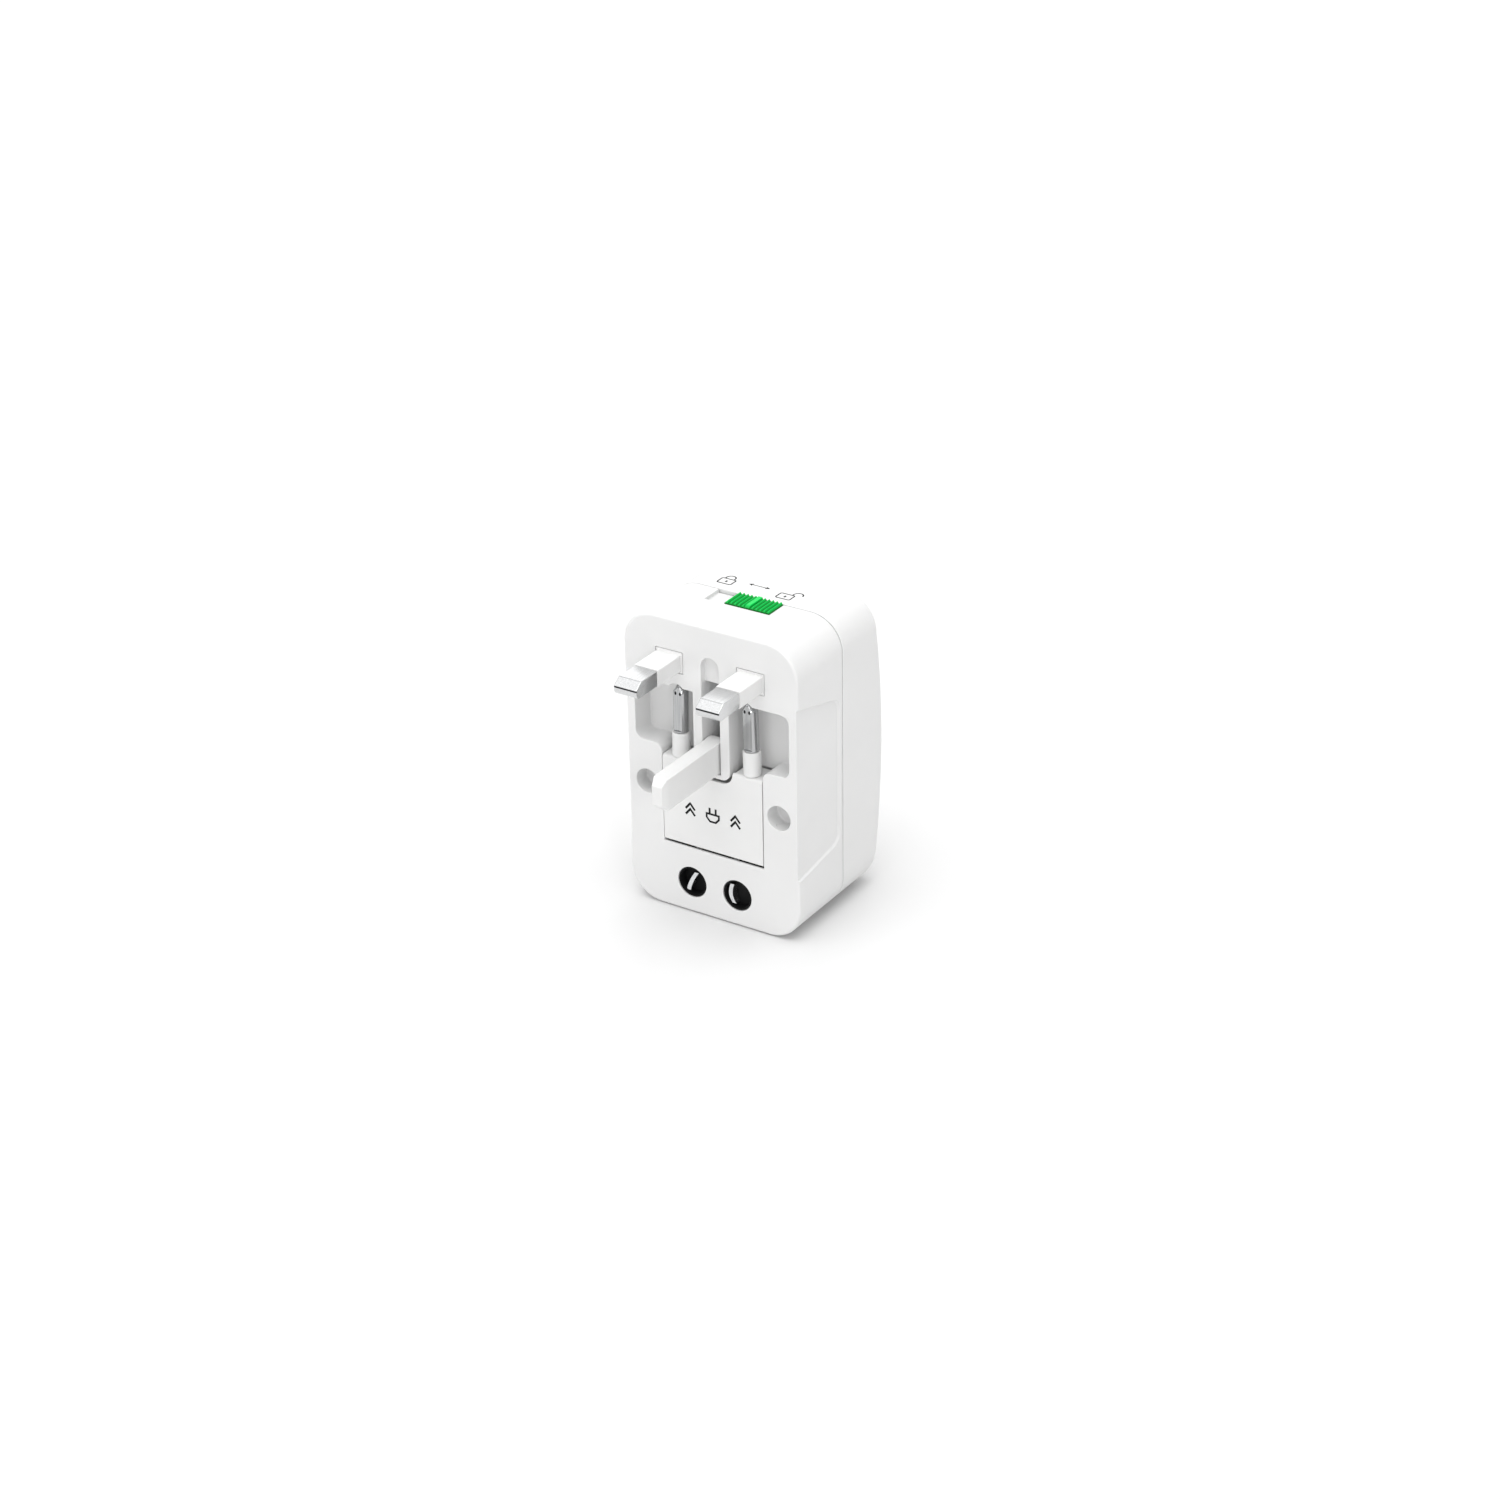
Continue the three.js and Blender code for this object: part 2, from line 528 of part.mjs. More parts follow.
function lockSlider() {
  const right = SLOT.right - 0.15;
  const left = right - SLIDER.width;
  const middle = (left + right) / 2;
  const base = HEIGHT - SLOT.depth + 0.15;
  const low = HEIGHT + 0.1;
  const points = [[left, base], [right, base]];
  const band = SLIDER.width - 2 * SLIDER.ribs * SLIDER.rib;
  for (let k = 0; k < SLIDER.ribs; k += 1) {
    const x = right - k * SLIDER.rib;
    points.push([x, low], [x - SLIDER.rib * SLIDER.crest, low + SLIDER.high]);
  }
  points.push([middle + band / 2, low], [middle + band / 2 - 0.2, low + SLIDER.high]);
  points.push([middle - band / 2 + 0.2, low + SLIDER.high], [middle - band / 2, low]);
  for (let k = SLIDER.ribs - 1; k >= 0; k -= 1) {
    const x = left + k * SLIDER.rib;
    points.push([x + SLIDER.rib * (1 - SLIDER.crest), low + SLIDER.high], [x, low]);
  }
  const y0 = SLOT.front + 0.2;
  const y1 = SEAM_Y - 0.1;
  const slope = polygon([
    [y0, base - 6], [y1, base - 6], [y1, low + 2], [y0 + 0.9, low + SLIDER.high], [y0, low + 0.25],
  ]);
  const cap = prismY(polygon(points), y0, y1).intersect(prismX(slope, left - 1, right + 1));
  return join(cap, box(middle - SLIDER.stem, middle + SLIDER.stem, SLOT.front + 1.9, SEAM_Y - 2.5, HEIGHT - 4.4,
    base + 0.3));
}

function lockLatch() {
  const x = SLOT.right - 0.15 - SLIDER.width / 2;
  return join(
    box(x - 1.2, x + 1.2, SLOT.front + 2.2, SOCKET_Y + 3.9, 68.2, 69.8),
    box(x - 1.2, x + 1.2, SOCKET_Y + 2.4, SOCKET_Y + 3.9, 66.8, 71.2),
    box(x - 2.0, x + 2.0, SLOT.front + 2.2, SEAM_Y - 3.4, 68.2, 71.5),
  );
}

// ---- contacts inside the plug module ----

// A collar lines each well's mouth, and a web closes the well in front of the docked blade.
function contactCarrier() {
  const y0 = FACE_Y + WALL + GAP;
  const y1 = SEAM_Y - PLATE.thick - GAP;
  const wells = [-WELL.x, WELL.x];
  return cut(
    join(
      prismY(roundRect(-12.2, 12.2, 2.4, 13.3, 2.6), y0, y1),
      ...wells.map((x) => rodY(x, WELL.z, WELL.r - 0.15, FACE_Y + 0.25, y0 + 0.5, 14)),
    ),
    ...wells.flatMap((x) => [
      rodY(x, WELL.z, WELL.bore, FACE_Y - 1, FACE_Y + WELL.web, 14),
      rodY(x, WELL.z, WELL.inner, FACE_Y + WELL.web + WELL.webWall, y1 + 1),
      box(stripX(x) - CLIP.tongue - GAP, stripX(x) + CLIP.tongue + GAP, FACE_Y + WELL.web - 1,
        FACE_Y + WELL.web + 1, WELL.z - CLIP.half - GAP, WELL.z + CLIP.half + GAP),
    ]),
  );
}

// Where a well's strip crosses the well's centre line.
const stripX = (x) => (x < 0 ? x - 0.65 : x - 2.2);

// A bowed strip across the well's mouth; its tongue runs back through the web to a leg beside the docked blade.
function contactClip(s) {
  const x = s * WELL.x;
  const z = WELL.z;
  const barY = FACE_Y + WELL.web + WELL.webWall + 0.1;
  const bowed = s < 0
    ? bowShape(x - 1.45, z - 2.7, x - 1.0, z - 0.3, x + 0.95, z + 2.5)
    : bowShape(x - 1.2, z - 2.7, x - 3.0, z - 0.6, x - 1.7, z + 2.4);
  return join(
    prismY(bowed, FACE_Y + 0.7, FACE_Y + WELL.web - 0.2, 5),
    box(stripX(x) - CLIP.tongue, stripX(x) + CLIP.tongue, FACE_Y + WELL.web - 0.8, barY + CLIP.metal,
      z - CLIP.half, z + CLIP.half),
    box(x - CLIP.leg, stripX(x), barY, barY + CLIP.metal, z - CLIP.half, z + CLIP.half),
    box(x - CLIP.leg, x - CLIP.leg + CLIP.metal, barY, SEAM_Y - 2.6, z - CLIP.half, z + CLIP.half),
  );
}

// A curved ribbon through three points, drawn as two offset quadratic curves.
function bowShape(x0, z0, x1, z1, x2, z2) {
  const half = 0.55;
  const s = new THREE.Shape();
  s.moveTo(x0 - half, z0);
  s.quadraticCurveTo(x1 - half, z1, x2 - half, z2);
  s.lineTo(x2 + half, z2);
  s.quadraticCurveTo(x1 + half, z1, x0 + half, z0);
  return s;
}

// Strip from a UK pin's tail down the case to the side of a well.
function busBar(s) {
  const path = polygon([
    [s * 9.4, 63.6], [s * 12.9, 63.6], [s * 12.9, 16.6], [s * 14.4, 14.4], [s * 14.4, 7.0], [s * 12.7, 7.0],
    [s * 12.7, 14.0], [s * 9.4, 16.0],
  ]);
  return prismY(path, 0.3, 0.9);
}

function hingeLeaf(s) {
  return box(s * 9.4 - 1.4, s * 9.4 + 1.4, 1.2, 1.7, 18.5, 30.5);
}

function earthDetent() {
  const y = FACE_Y + CHANNEL.back;
  const bend = 50;
  const high = CHANNEL.top - 0.5;
  const low = EARTH_Z + 0.8;
  return prismX(polygon([
    [y - 0.5, high], [y - 0.15, high], [y - 0.15, bend], [y - 0.95, low], [y - 1.3, low], [y - 0.5, bend],
  ]), -2.1, 2.1);
}

// A slotted screw whose head's outer face is at y; way is the direction that its shank runs in.
function screw(x, z, y, length, way) {
  const span = (from, to) => [from, to].map((d) => y + way * d).sort((a, b) => a - b);
  return cut(
    join(
      rodY(x, z, SCREW.headR, ...span(0, SCREW.head), 6),
      rodY(x, z, SCREW.shankR, ...span(0, length), 4),
    ),
    box(x - 1.4, x + 1.4, ...span(-0.5, 0.5), z - SCREW.slot, z + SCREW.slot),
  );
}

// ---- socket module ----

function socketShell() {
  const bosses = socketScrewPlaces().map(([x, z]) => rodY(x, z, 2.6, SOCKET_Y + PLATE.thick + 0.5, 27, 6));
  const hull = join(cut(crownedBody(0, SOCKET_Y, BACK_FILLET), crownedBody(WALL, SOCKET_Y - 1, 1)), ...bosses);
  return cut(
    hull,
    ...socketScrewPlaces().map(([x, z]) => rodY(x, z, 1.2, SOCKET_Y, 24, 5)),
    ...[-1, 1].map((s) => prismY(powerAperture(s), 20, 40)),
    prismY(roundRect(-SOCKET_EARTH.half, SOCKET_EARTH.half,
      SOCKET_Z + SOCKET_EARTH.low, SOCKET_Z + SOCKET_EARTH.high, 0.8), 20, 40),
    rodY(0, SOCKET_Z + SOCKET_EARTH.roundUp, SOCKET_EARTH.roundR, 20, 40, 8),
  );
}

const socketScrewPlaces = () => [[-16.5, 8.5], [16.5, 8.5], [-16.5, HEIGHT - 8.5], [16.5, HEIGHT - 8.5]];

// One keyhole-like aperture: a round hole, a wide slot and an upright slot run together.
function powerAperture(s) {
  const p = new THREE.Shape();
  const wide = 2.3;
  const tall = 3.9;
  const corners = [
    [5.2, -tall], [7.4, -tall], [7.4, -2.5], [9.5, -2.5], [11.3, -wide], [14.9, -wide],
    [14.9, wide], [11.3, wide], [9.5, 2.5], [7.4, 2.5], [7.4, tall], [5.2, tall],
  ].map(([x, z]) => [s * x, SOCKET_Z + z]);
  corners.forEach(([x, z], i) => (i ? p.lineTo(x, z) : p.moveTo(x, z)));
  return p;
}

function socketFrontPlate() {
  const y1 = SOCKET_Y + 0.2 + PLATE.thick;
  return cut(
    bodySlab(PLATE.inset, SOCKET_Y + 0.2, y1),
    ...[-1, 1].map((s) => rodY(s * WELL.x, WELL.z, ROTOR.r + 0.15, SOCKET_Y - 1, y1 + 1, 12)),
    prismY(rect(-5.1, 0.0, 67.8, 70.2), SOCKET_Y - 1, y1 + 1),
    prismY(rect(0.0, 3.5, 66.4, 71.6), SOCKET_Y - 1, y1 + 1),
    ...socketScrewPlaces().map(([x, z]) => rodY(x, z, 1.4, SOCKET_Y - 1, y1 + 1, 6)),
    ...socketScrewPlaces().map(([x, z]) => rodY(x, z, 2.5, SOCKET_Y - 1, SOCKET_Y + 1.6, 6)),
  );
}

function usRotor(s) {
  const x = s * WELL.x;
  const inner = SOCKET_Y + 0.2 + PLATE.thick + 0.3;
  return cut(
    join(
      rodY(x, WELL.z, ROTOR.r, ROTOR.front, ROTOR.back, 12),
      rodY(x, WELL.z, ROTOR.rim, inner, ROTOR.back, 12),
    ),
    box(x - US_BLADE.t / 2 - 0.08, x + US_BLADE.t / 2 + 0.08, ROTOR.front - 1, ROTOR.back + 1,
      WELL.z - US_BLADE.w / 2 - 0.08, WELL.z + US_BLADE.w / 2 + 0.08),
  );
}

function usBlade(s) {
  const x = s * WELL.x;
  const tip = ROTOR.front - US_BLADE.reach;
  const half = US_BLADE.w / 2;
  const c = 1.2;
  const side = polygon([
    [ROTOR.back + 1.2, WELL.z - half], [ROTOR.back + 1.2, WELL.z + half], [tip + c, WELL.z + half],
    [tip, WELL.z + half - c], [tip, WELL.z - half + c], [tip + c, WELL.z - half],
  ]);
  return cut(
    prismX(side, x - US_BLADE.t / 2, x + US_BLADE.t / 2),
    rodX(tip + 3.4, WELL.z, 1.4, x - 2, x + 2, 6),
  );
}

// Strip from the tail of a rotor up to its socket contact.
function rotorWiper(s) {
  const y = ROTOR.back + 1.6;
  return box(s * 7.2 - 1.8, s * 7.2 + 1.8, y, y + 0.5, 5.5, 19.5);
}

// A spring contact folded round the space behind one aperture.
function socketContact(s) {
  const x0 = s * 10.1 - 5.4;
  const x1 = s * 10.1 + 5.4;
  const y0 = 18.2;
  const y1 = 26.2;
  const tall = 4.5;
  const leaf = 0.5;
  return join(
    box(x0, x1, y0, y1, SOCKET_Z - tall - leaf, SOCKET_Z - tall),
    box(x0, x1, y0, y1, SOCKET_Z + tall, SOCKET_Z + tall + leaf),
    s > 0 ? box(x1 - leaf, x1, y0, y1, SOCKET_Z - tall - 0.1, SOCKET_Z + tall + 0.1)
      : box(x0, x0 + leaf, y0, y1, SOCKET_Z - tall - 0.1, SOCKET_Z + tall + 0.1),
  );
}

// ---- assembly ----

const adapter = new THREE.Group();
const module = () => {
  const g = new THREE.Group();
  adapter.add(g);
  return g;
};
const SIDES = [[-1, "left"], [1, "right"]];

const plug = module();
node(plug, "plug_shell", WHITE, plugShell());
node(plug, "plug_back_plate", IVORY, plugBackPlate());
node(plug, "contact_carrier", BLACK, contactCarrier());
node(plug, "flap_hinge_rod", STEEL, rodX(HINGE.y, HINGE.z, HINGE.r, -HINGE.half, HINGE.half));
node(plug, "earth_axle", STEEL,
  rodX(FACE_Y + EARTH.pivot, EARTH_Z, EARTH.axle, -ISLAND.half + 0.7, ISLAND.half - 0.7));
node(plug, "earth_detent_leaf", STEEL, earthDetent());
for (const [s, side] of SIDES) {
  node(plug, "uk_sleeve_" + side, WHITE, ukSleeve(s));
  node(plug, "uk_blade_" + side, NICKEL, ukBlade(s));
  node(plug, "contact_clip_" + side, NICKEL, contactClip(s));
  node(plug, "bus_bar_" + side, BRASS, busBar(s));
  node(plug, "hinge_leaf_" + side, BRASS, hingeLeaf(s));
  node(plug, "case_screw_" + side, STEEL, screw(s * SIDE_HOLE.x, SIDE_HOLE.z, SEAM_Y - 0.15, 12, -1));
}

node(module(), "earth_pin", WHITE, earthPin());

const flap = module();
node(flap, "euro_flap", WHITE, euroFlap());
node(flap, "flap_cover", WHITE, flapCover());
for (const [s, side] of SIDES) {
  node(flap, "euro_sleeve_" + side, WHITE, euroSleeve(s));
  node(flap, "euro_pin_" + side, NICKEL, euroPin(s));
}

const lock = module();
node(lock, "lock_slider", GREEN, lockSlider());
node(lock, "lock_latch", STEEL, lockLatch());

const socket = module();
node(socket, "socket_shell", WHITE, socketShell());
node(socket, "socket_front_plate", IVORY, socketFrontPlate());
for (const [s, side] of SIDES) {
  node(socket, "socket_contact_" + side, BRASS, socketContact(s));
  node(socket, "rotor_wiper_" + side, BRASS, rotorWiper(s));
}
socketScrewPlaces().forEach(([x, z], i) => {
  node(socket, "socket_screw_" + (i + 1), STEEL, screw(x, z, SOCKET_Y + 0.35, 9, 1));
});

for (const [s, side] of SIDES) {
  const turning = module();
  node(turning, "us_rotor_" + side, IVORY, usRotor(s));
  node(turning, "us_blade_" + side, NICKEL, usBlade(s));
}

export default adapter;
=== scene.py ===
import math

import bmesh
import bpy
from mathutils import Matrix, Vector


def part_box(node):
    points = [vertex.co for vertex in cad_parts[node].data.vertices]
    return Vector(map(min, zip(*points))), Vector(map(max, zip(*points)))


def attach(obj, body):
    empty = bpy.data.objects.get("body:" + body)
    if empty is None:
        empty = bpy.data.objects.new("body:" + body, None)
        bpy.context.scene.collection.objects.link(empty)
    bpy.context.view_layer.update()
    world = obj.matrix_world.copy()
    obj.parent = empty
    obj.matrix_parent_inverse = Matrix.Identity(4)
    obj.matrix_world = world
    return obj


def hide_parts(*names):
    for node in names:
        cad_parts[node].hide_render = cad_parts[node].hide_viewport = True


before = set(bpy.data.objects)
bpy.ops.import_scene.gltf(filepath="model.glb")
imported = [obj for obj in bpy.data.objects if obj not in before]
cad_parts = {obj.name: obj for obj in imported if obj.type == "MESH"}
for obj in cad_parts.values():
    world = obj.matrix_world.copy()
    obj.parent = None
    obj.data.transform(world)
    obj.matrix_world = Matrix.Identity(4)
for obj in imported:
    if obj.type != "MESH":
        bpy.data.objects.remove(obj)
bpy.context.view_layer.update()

# ---- dimensions, in millimetres, in the CAD frame ----

MM = 0.001
plug_lo, plug_hi = (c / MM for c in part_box("plug_shell"))
WIDTH, HEIGHT = plug_hi.x - plug_lo.x, plug_hi.z
FACE_Y, SEAM_Y = plug_lo.y, plug_hi.y
SOCKET_Y = (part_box("socket_shell")[0] / MM).y

# Shells
CORNER, WALL, FLOOR = 8.5, 2.0, 1.5
FRONT_FILLET, BACK_FILLET, SEAM_EDGE = 0.7, 2.4, 0.18
CROWN_Y, CROWN_DROP_X, CROWN_DROP_Z = 31.25, 2.0, 4.2
CROWN_RINGS = (0.9, 0.78, 0.64, 0.5, 0.36, 0.22, 0.1, 0.03)
INNER_Y = FACE_Y + 1
LINING, THIN_LINING = 1.6, 1.1

# British pins, the channel that the earth pin folds into and the groove above it
PIN_SPACING = 22.23
PIN_Z, PIN_X = 65.4, PIN_SPACING / 2
EARTH_Z = PIN_Z - PIN_SPACING
COLLAR_HALF = (7.3 / 2, 5.3 / 2)
COLLAR_GAP = 0.15
CHANNEL_HALF, CHANNEL_OUTER, CHANNEL_DEPTH = 2.45, 4.2, 8.0
CHANNEL_TOP, CHANNEL_BOTTOM = PIN_Z - 3.7, EARTH_Z - 4.3
GROOVE_TOP, GROOVE_DEPTH = PIN_Z + 3.1, 1.8
ISLAND_HALF, ISLAND_BOTTOM, ISLAND_CORNER, ISLAND_RIM = 4.95, 37.8, 2.2, 0.25

# European flap, its cavity and the finger pockets beside it
FLAP_HALF, FLAP_BOTTOM, FLAP_TOP = 14.0, 17.9, 40.4
FLAP_BELOW, FLAP_OVER = 0.6, 0.35
HINGE_BELOW, HINGE_OVER, HINGE_Y = 2.6, 0.2, FACE_Y + 0.6
POCKET_HALF, POCKET_TOP, POCKET_CORNER = 21.2, PIN_Z - 6.6, 2.0
LEDGE = 43.0
DEEP, SHALLOW = 8.0, 6.5
TAB_X, TAB_HALF, TAB_LOW, TAB_HIGH = 5.3, 0.65, FLAP_BOTTOM - 2.8, FLAP_BOTTOM - 1.0
TAB_Y = (FACE_Y + 0.3, FACE_Y + 2.0)

# European pins and the rests for their tips
EURO_X, EURO_LEAN, EURO_Y = 9.9, 1.3, FACE_Y + 2.25
EURO_R, EURO_LENGTH, EURO_CONE = 1.85, 18.8, 2.2
SLEEVE_R, SLEEVE_BORE, SLEEVE_LENGTH = 2.15, 1.42, 6.2
STEM_R, STEM_FOOT = 1.3, -3.4
FLAT_Y = EURO_Y - 1.45
DIMPLE_X, DIMPLE_DROP, DIMPLE_WIDE, DIMPLE_HIGH = 0.62, 2.35, 0.27, 0.42
REST_X, REST_HALF, REST_DEPTH = 9.47, 2.3, 4.5
REST_TOP, REST_FOOT = 59.75, POCKET_TOP - 6

# Round holes, slider slot and side panels
WELL_X, WELL_Z, WELL_R = 6.35, 8.0, 4.0
SIDE_X, SIDE_Z, SIDE_R, SIDE_DEPTH = 18.3, 32.0, 3.15, 4.4
PINHOLE_X, PINHOLE_Y, PINHOLE_R = SIDE_X - 1.5, FACE_Y + 1.5, 0.17
PINHOLE_Z = (SIDE_Z - 3.3, SIDE_Z - 2.4)
SLOT_X, SLOT_Y, SLOT_DEPTH = (-9.8, 8.1), FACE_Y + 13.1, 1.0
SLOT_BASE, SLOT_BASE_Y = HEIGHT - 3.4, (SLOT_Y - 1.2, SEAM_Y - 2.1)
STEM_X, STEM_Y, STEM_LOW = (-4.22, 2.62), (SLOT_Y + 1.6, SEAM_Y - 2.2), HEIGHT - 5
PANEL_FRONT, PANEL_REAR, PANEL_CORNER = FACE_Y - 2.0, FACE_Y + 18.3, 3.2
PANEL_FRONT_Z, PANEL_REAR_Z = (16.35, 61.65), (18.8, 57.2)
PANEL_DEPTH, PANEL_RIM, PANEL_FALL, PANEL_SLOPE = 0.5, 0.22, 0.47, 0.35

# Socket apertures
SOCKET_Z = 26.0
APERTURE_Y = (24.0, 34.0)
EARTH_APERTURE = (2.5, SOCKET_Z + 17.3, SOCKET_Z + 26.6, 0.8)
ROUND_APERTURE = (0, SOCKET_Z + 13.2, 2.6)


# ---- mesh making ----

WELD = 0.002                          # points this near each other merge
COPLANAR, BEVEL_ANGLE = 0.4, 30.0     # degrees between faces that join up, and that get a bevel
NORMAL_WEIGHT = 90                    # how far the large faces decide the shading


def new_object(name, mesh):
    piece = bpy.data.objects.new(name, mesh)
    bpy.context.scene.collection.objects.link(piece)
    return piece


def finish_mesh(bm, name):
    bmesh.ops.recalc_face_normals(bm, faces=bm.faces)
    mesh = bpy.data.meshes.new(name)
    bm.to_mesh(mesh)
    bm.free()
    return new_object(name, mesh)


def loft(name, rings):
    """A closed skin through rings of equal point counts, in millimetres."""
    bm = bmesh.new()
    layers = [[bm.verts.new(Vector(p) * MM) for p in ring] for ring in rings]
    count = len(rings[0])
    for low, high in zip(layers, layers[1:]):
        for k in range(count):
            after = (k + 1) % count
            bm.faces.new((low[k], low[after], high[after], high[k]))
    bm.faces.new(layers[0][::-1])
    bm.faces.new(layers[-1])
    return finish_mesh(bm, name)


def arc(cx, cz, r, start, end, steps):
    angles = [math.radians(start + (end - start) * k / steps) for k in range(steps + 1)]
    return [(cx + r * math.cos(a), cz + r * math.sin(a)) for a in angles]


def round_rect(x0, x1, z0, z1, r, steps=8):
    return (arc(x1 - r, z0 + r, r, -90, 0, steps) + arc(x1 - r, z1 - r, r, 0, 90, steps)
            + arc(x0 + r, z1 - r, r, 90, 180, steps) + arc(x0 + r, z0 + r, r, 180, 270, steps))


def circle(x, z, r, steps=48):
    return arc(x, z, r, 0, 360, steps)[:-1]


def offset(points, distance):
    """Moves a closed anticlockwise outline outwards, keeping its point count."""
    moved = []
    count = len(points)
    for k, here in enumerate(points):
        p = Vector(here)
        before = (p - Vector(points[k - 1])).normalized()
        after = (Vector(points[(k + 1) % count]) - p).normalized()
        n1 = Vector((before.y, -before.x))
        n2 = Vector((after.y, -after.x))
        bisector = (n1 + n2).normalized()
        reach = distance / max(bisector.dot(n1), 0.35)
        moved.append(tuple(p + bisector * reach))
    return moved


def along_y(points, y):
    return [(x, y, z) for x, z in points]


def quarter_turn(steps):
    return [math.pi / 2 * k / steps for k in range(steps + 1)]


def rim_profile(depth, rim, floor):
    """Offsets against depth for a pocket with a rounded rim and, unless floor is 0, a rounded floor."""
    arcs = quarter_turn(4)
    rows = [(-1.0, rim)] + [(rim - rim * math.cos(a), rim - rim * math.sin(a)) for a in arcs]
    if floor:
        return rows + [(depth - floor + floor * math.sin(a), floor * math.cos(a) - floor) for a in arcs]
    return rows + [(depth, 0.0)]


def pocket(points, depth, rim, floor):
    """A cutter sunk along Y from the plug face."""
    return loft("tool", [along_y(offset(points, o), FACE_Y + d) for d, o in rim_profile(depth, rim, floor)])


def prism(points, y0, y1):
    """A straight-sided cutter or block along Y."""
    return loft("tool", [along_y(points, y0), along_y(points, y1)])


def merged(base, operation, others):
    for other in others:
        cut = base.modifiers.new("cut", "BOOLEAN")
        cut.operation = operation
        cut.solver = "EXACT"
        cut.object = other
    bpy.context.view_layer.update()
    result = bpy.data.meshes.new_from_object(base.evaluated_get(bpy.context.evaluated_depsgraph_get()))
    base.modifiers.clear()
    base.data = result
    for other in others:
        bpy.data.objects.remove(other)
    return base


def smooth(piece, angle=32.0, bevel=0.0, segments=3):
    """Joins up coplanar faces and shades smoothly, with bevelled edges or with sharp ones over angle."""
    bm = bmesh.new()
    bm.from_mesh(piece.data)
    bmesh.ops.remove_doubles(bm, verts=bm.verts, dist=WELD * MM)
    bmesh.ops.dissolve_limit(bm, angle_limit=math.radians(COPLANAR), verts=bm.verts, edges=bm.edges)
    bm.to_mesh(piece.data)
    bm.free()
    for polygon in piece.data.polygons:
        polygon.use_smooth = True
    if bevel:
        rounded = piece.modifiers.new("edges", "BEVEL")
        rounded.width = bevel * MM
        rounded.segments = segments
        rounded.limit_method = "ANGLE"
        rounded.angle_limit = math.radians(BEVEL_ANGLE)
        rounded.miter_outer = "MITER_ARC"
    else:
        piece.data.set_sharp_from_angle(angle=math.radians(angle))
    normals = piece.modifiers.new("normals", "WEIGHTED_NORMAL")
    normals.keep_sharp = True
    normals.weight = NORMAL_WEIGHT
    return piece


def place(piece, body, slot, finish, *nodes):
    piece.data.materials.clear()
    piece.data.materials.append(finish)
    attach(piece, body)
    if nodes:
        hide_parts(*nodes)
    return piece


def refined(node, body, slot, finish, bevel, segments=3):
    """The CAD node's own shape with its flats joined up and its edges rounded."""
    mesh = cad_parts[node].data.copy()
    mesh.name = node + "_fine"
    piece = new_object(node + "_fine", mesh)
    return place(smooth(piece, bevel=bevel, segments=segments), body, slot, finish, node)


# ---- materials ----

NOISE_SPAN = (0.3, 0.7)
# The near black of the painted shade line below the blades' chamfer.
CHAMFER_SHADE_DARK = (0.03, 0.03, 0.032, 1.0)


class Finish:
    """A Principled material with its own procedural nodes."""

    def __init__(self, name, metallic, roughness):
        self.material = bpy.data.materials.new(name)
        self.material.use_nodes = True
        self.tree = self.material.node_tree
        self.shader = next(n for n in self.tree.nodes if n.type == "BSDF_PRINCIPLED")
        self.shader.inputs["Metallic"].default_value = metallic
        self.shader.inputs["Roughness"].default_value = roughness
        self.where = self.add("ShaderNodeTexCoord").outputs["Object"]

    def add(self, kind, **values):
        node = self.tree.nodes.new(kind)
        for key, value in values.items():
            setattr(node, key, value)
        return node

    def link(self, a, b):
        self.tree.links.new(a, b)

    def noise(self, scale, detail=3.0, stretch=None, roughness=0.5):
        texture = self.add("ShaderNodeTexNoise")
        texture.inputs["Scale"].default_value = scale
        texture.inputs["Detail"].default_value = detail
        texture.inputs["Roughness"].default_value = roughness
        if stretch:
            mapping = self.add("ShaderNodeMapping")
            mapping.inputs["Scale"].default_value = stretch
            self.link(self.where, mapping.inputs["Vector"])
            self.link(mapping.outputs["Vector"], texture.inputs["Vector"])
        else:
            self.link(self.where, texture.inputs["Vector"])
        return texture.outputs["Fac"]

    def along(self, axis):
        split = self.add("ShaderNodeSeparateXYZ")
        self.link(self.where, split.inputs["Vector"])
        return split.outputs[axis]

    def span(self, value, low, high, to_low=0.0, to_high=1.0):
        node = self.add("ShaderNodeMapRange")
        for name, number in (("From Min", low), ("From Max", high), ("To Min", to_low), ("To Max", to_high)):
            node.inputs[name].default_value = number
        self.link(value, node.inputs["Value"])
        return node.outputs["Result"]

    def ramp(self, factor, *stops):
        node = self.add("ShaderNodeValToRGB")
        elements = node.color_ramp.elements
        while len(elements) < len(stops):
            elements.new(0.5)
        for element, (position, colour) in zip(elements, stops):
            element.position = position
            element.color = (*colour, 1.0) if isinstance(colour, tuple) else (colour, colour, colour, 1.0)
        self.link(factor, node.inputs["Fac"])
        return node.outputs["Color"]

    def colour(self, factor, low, high, span=NOISE_SPAN):
        self.link(self.ramp(factor, (span[0], low), (span[1], high)), self.shader.inputs["Base Color"])

    def roughness(self, factor, low, high):
        self.link(self.span(factor, *NOISE_SPAN, low, high), self.shader.inputs["Roughness"])

    def bump(self, height, strength, distance, under=None):
        node = self.add("ShaderNodeBump")
        node.inputs["Strength"].default_value = strength
        node.inputs["Distance"].default_value = distance
        self.link(height, node.inputs["Height"])
        if under:
            self.link(under, node.inputs["Normal"])
        return node.outputs["Normal"]

    def normal(self, normal):
        self.link(normal, self.shader.inputs["Normal"])


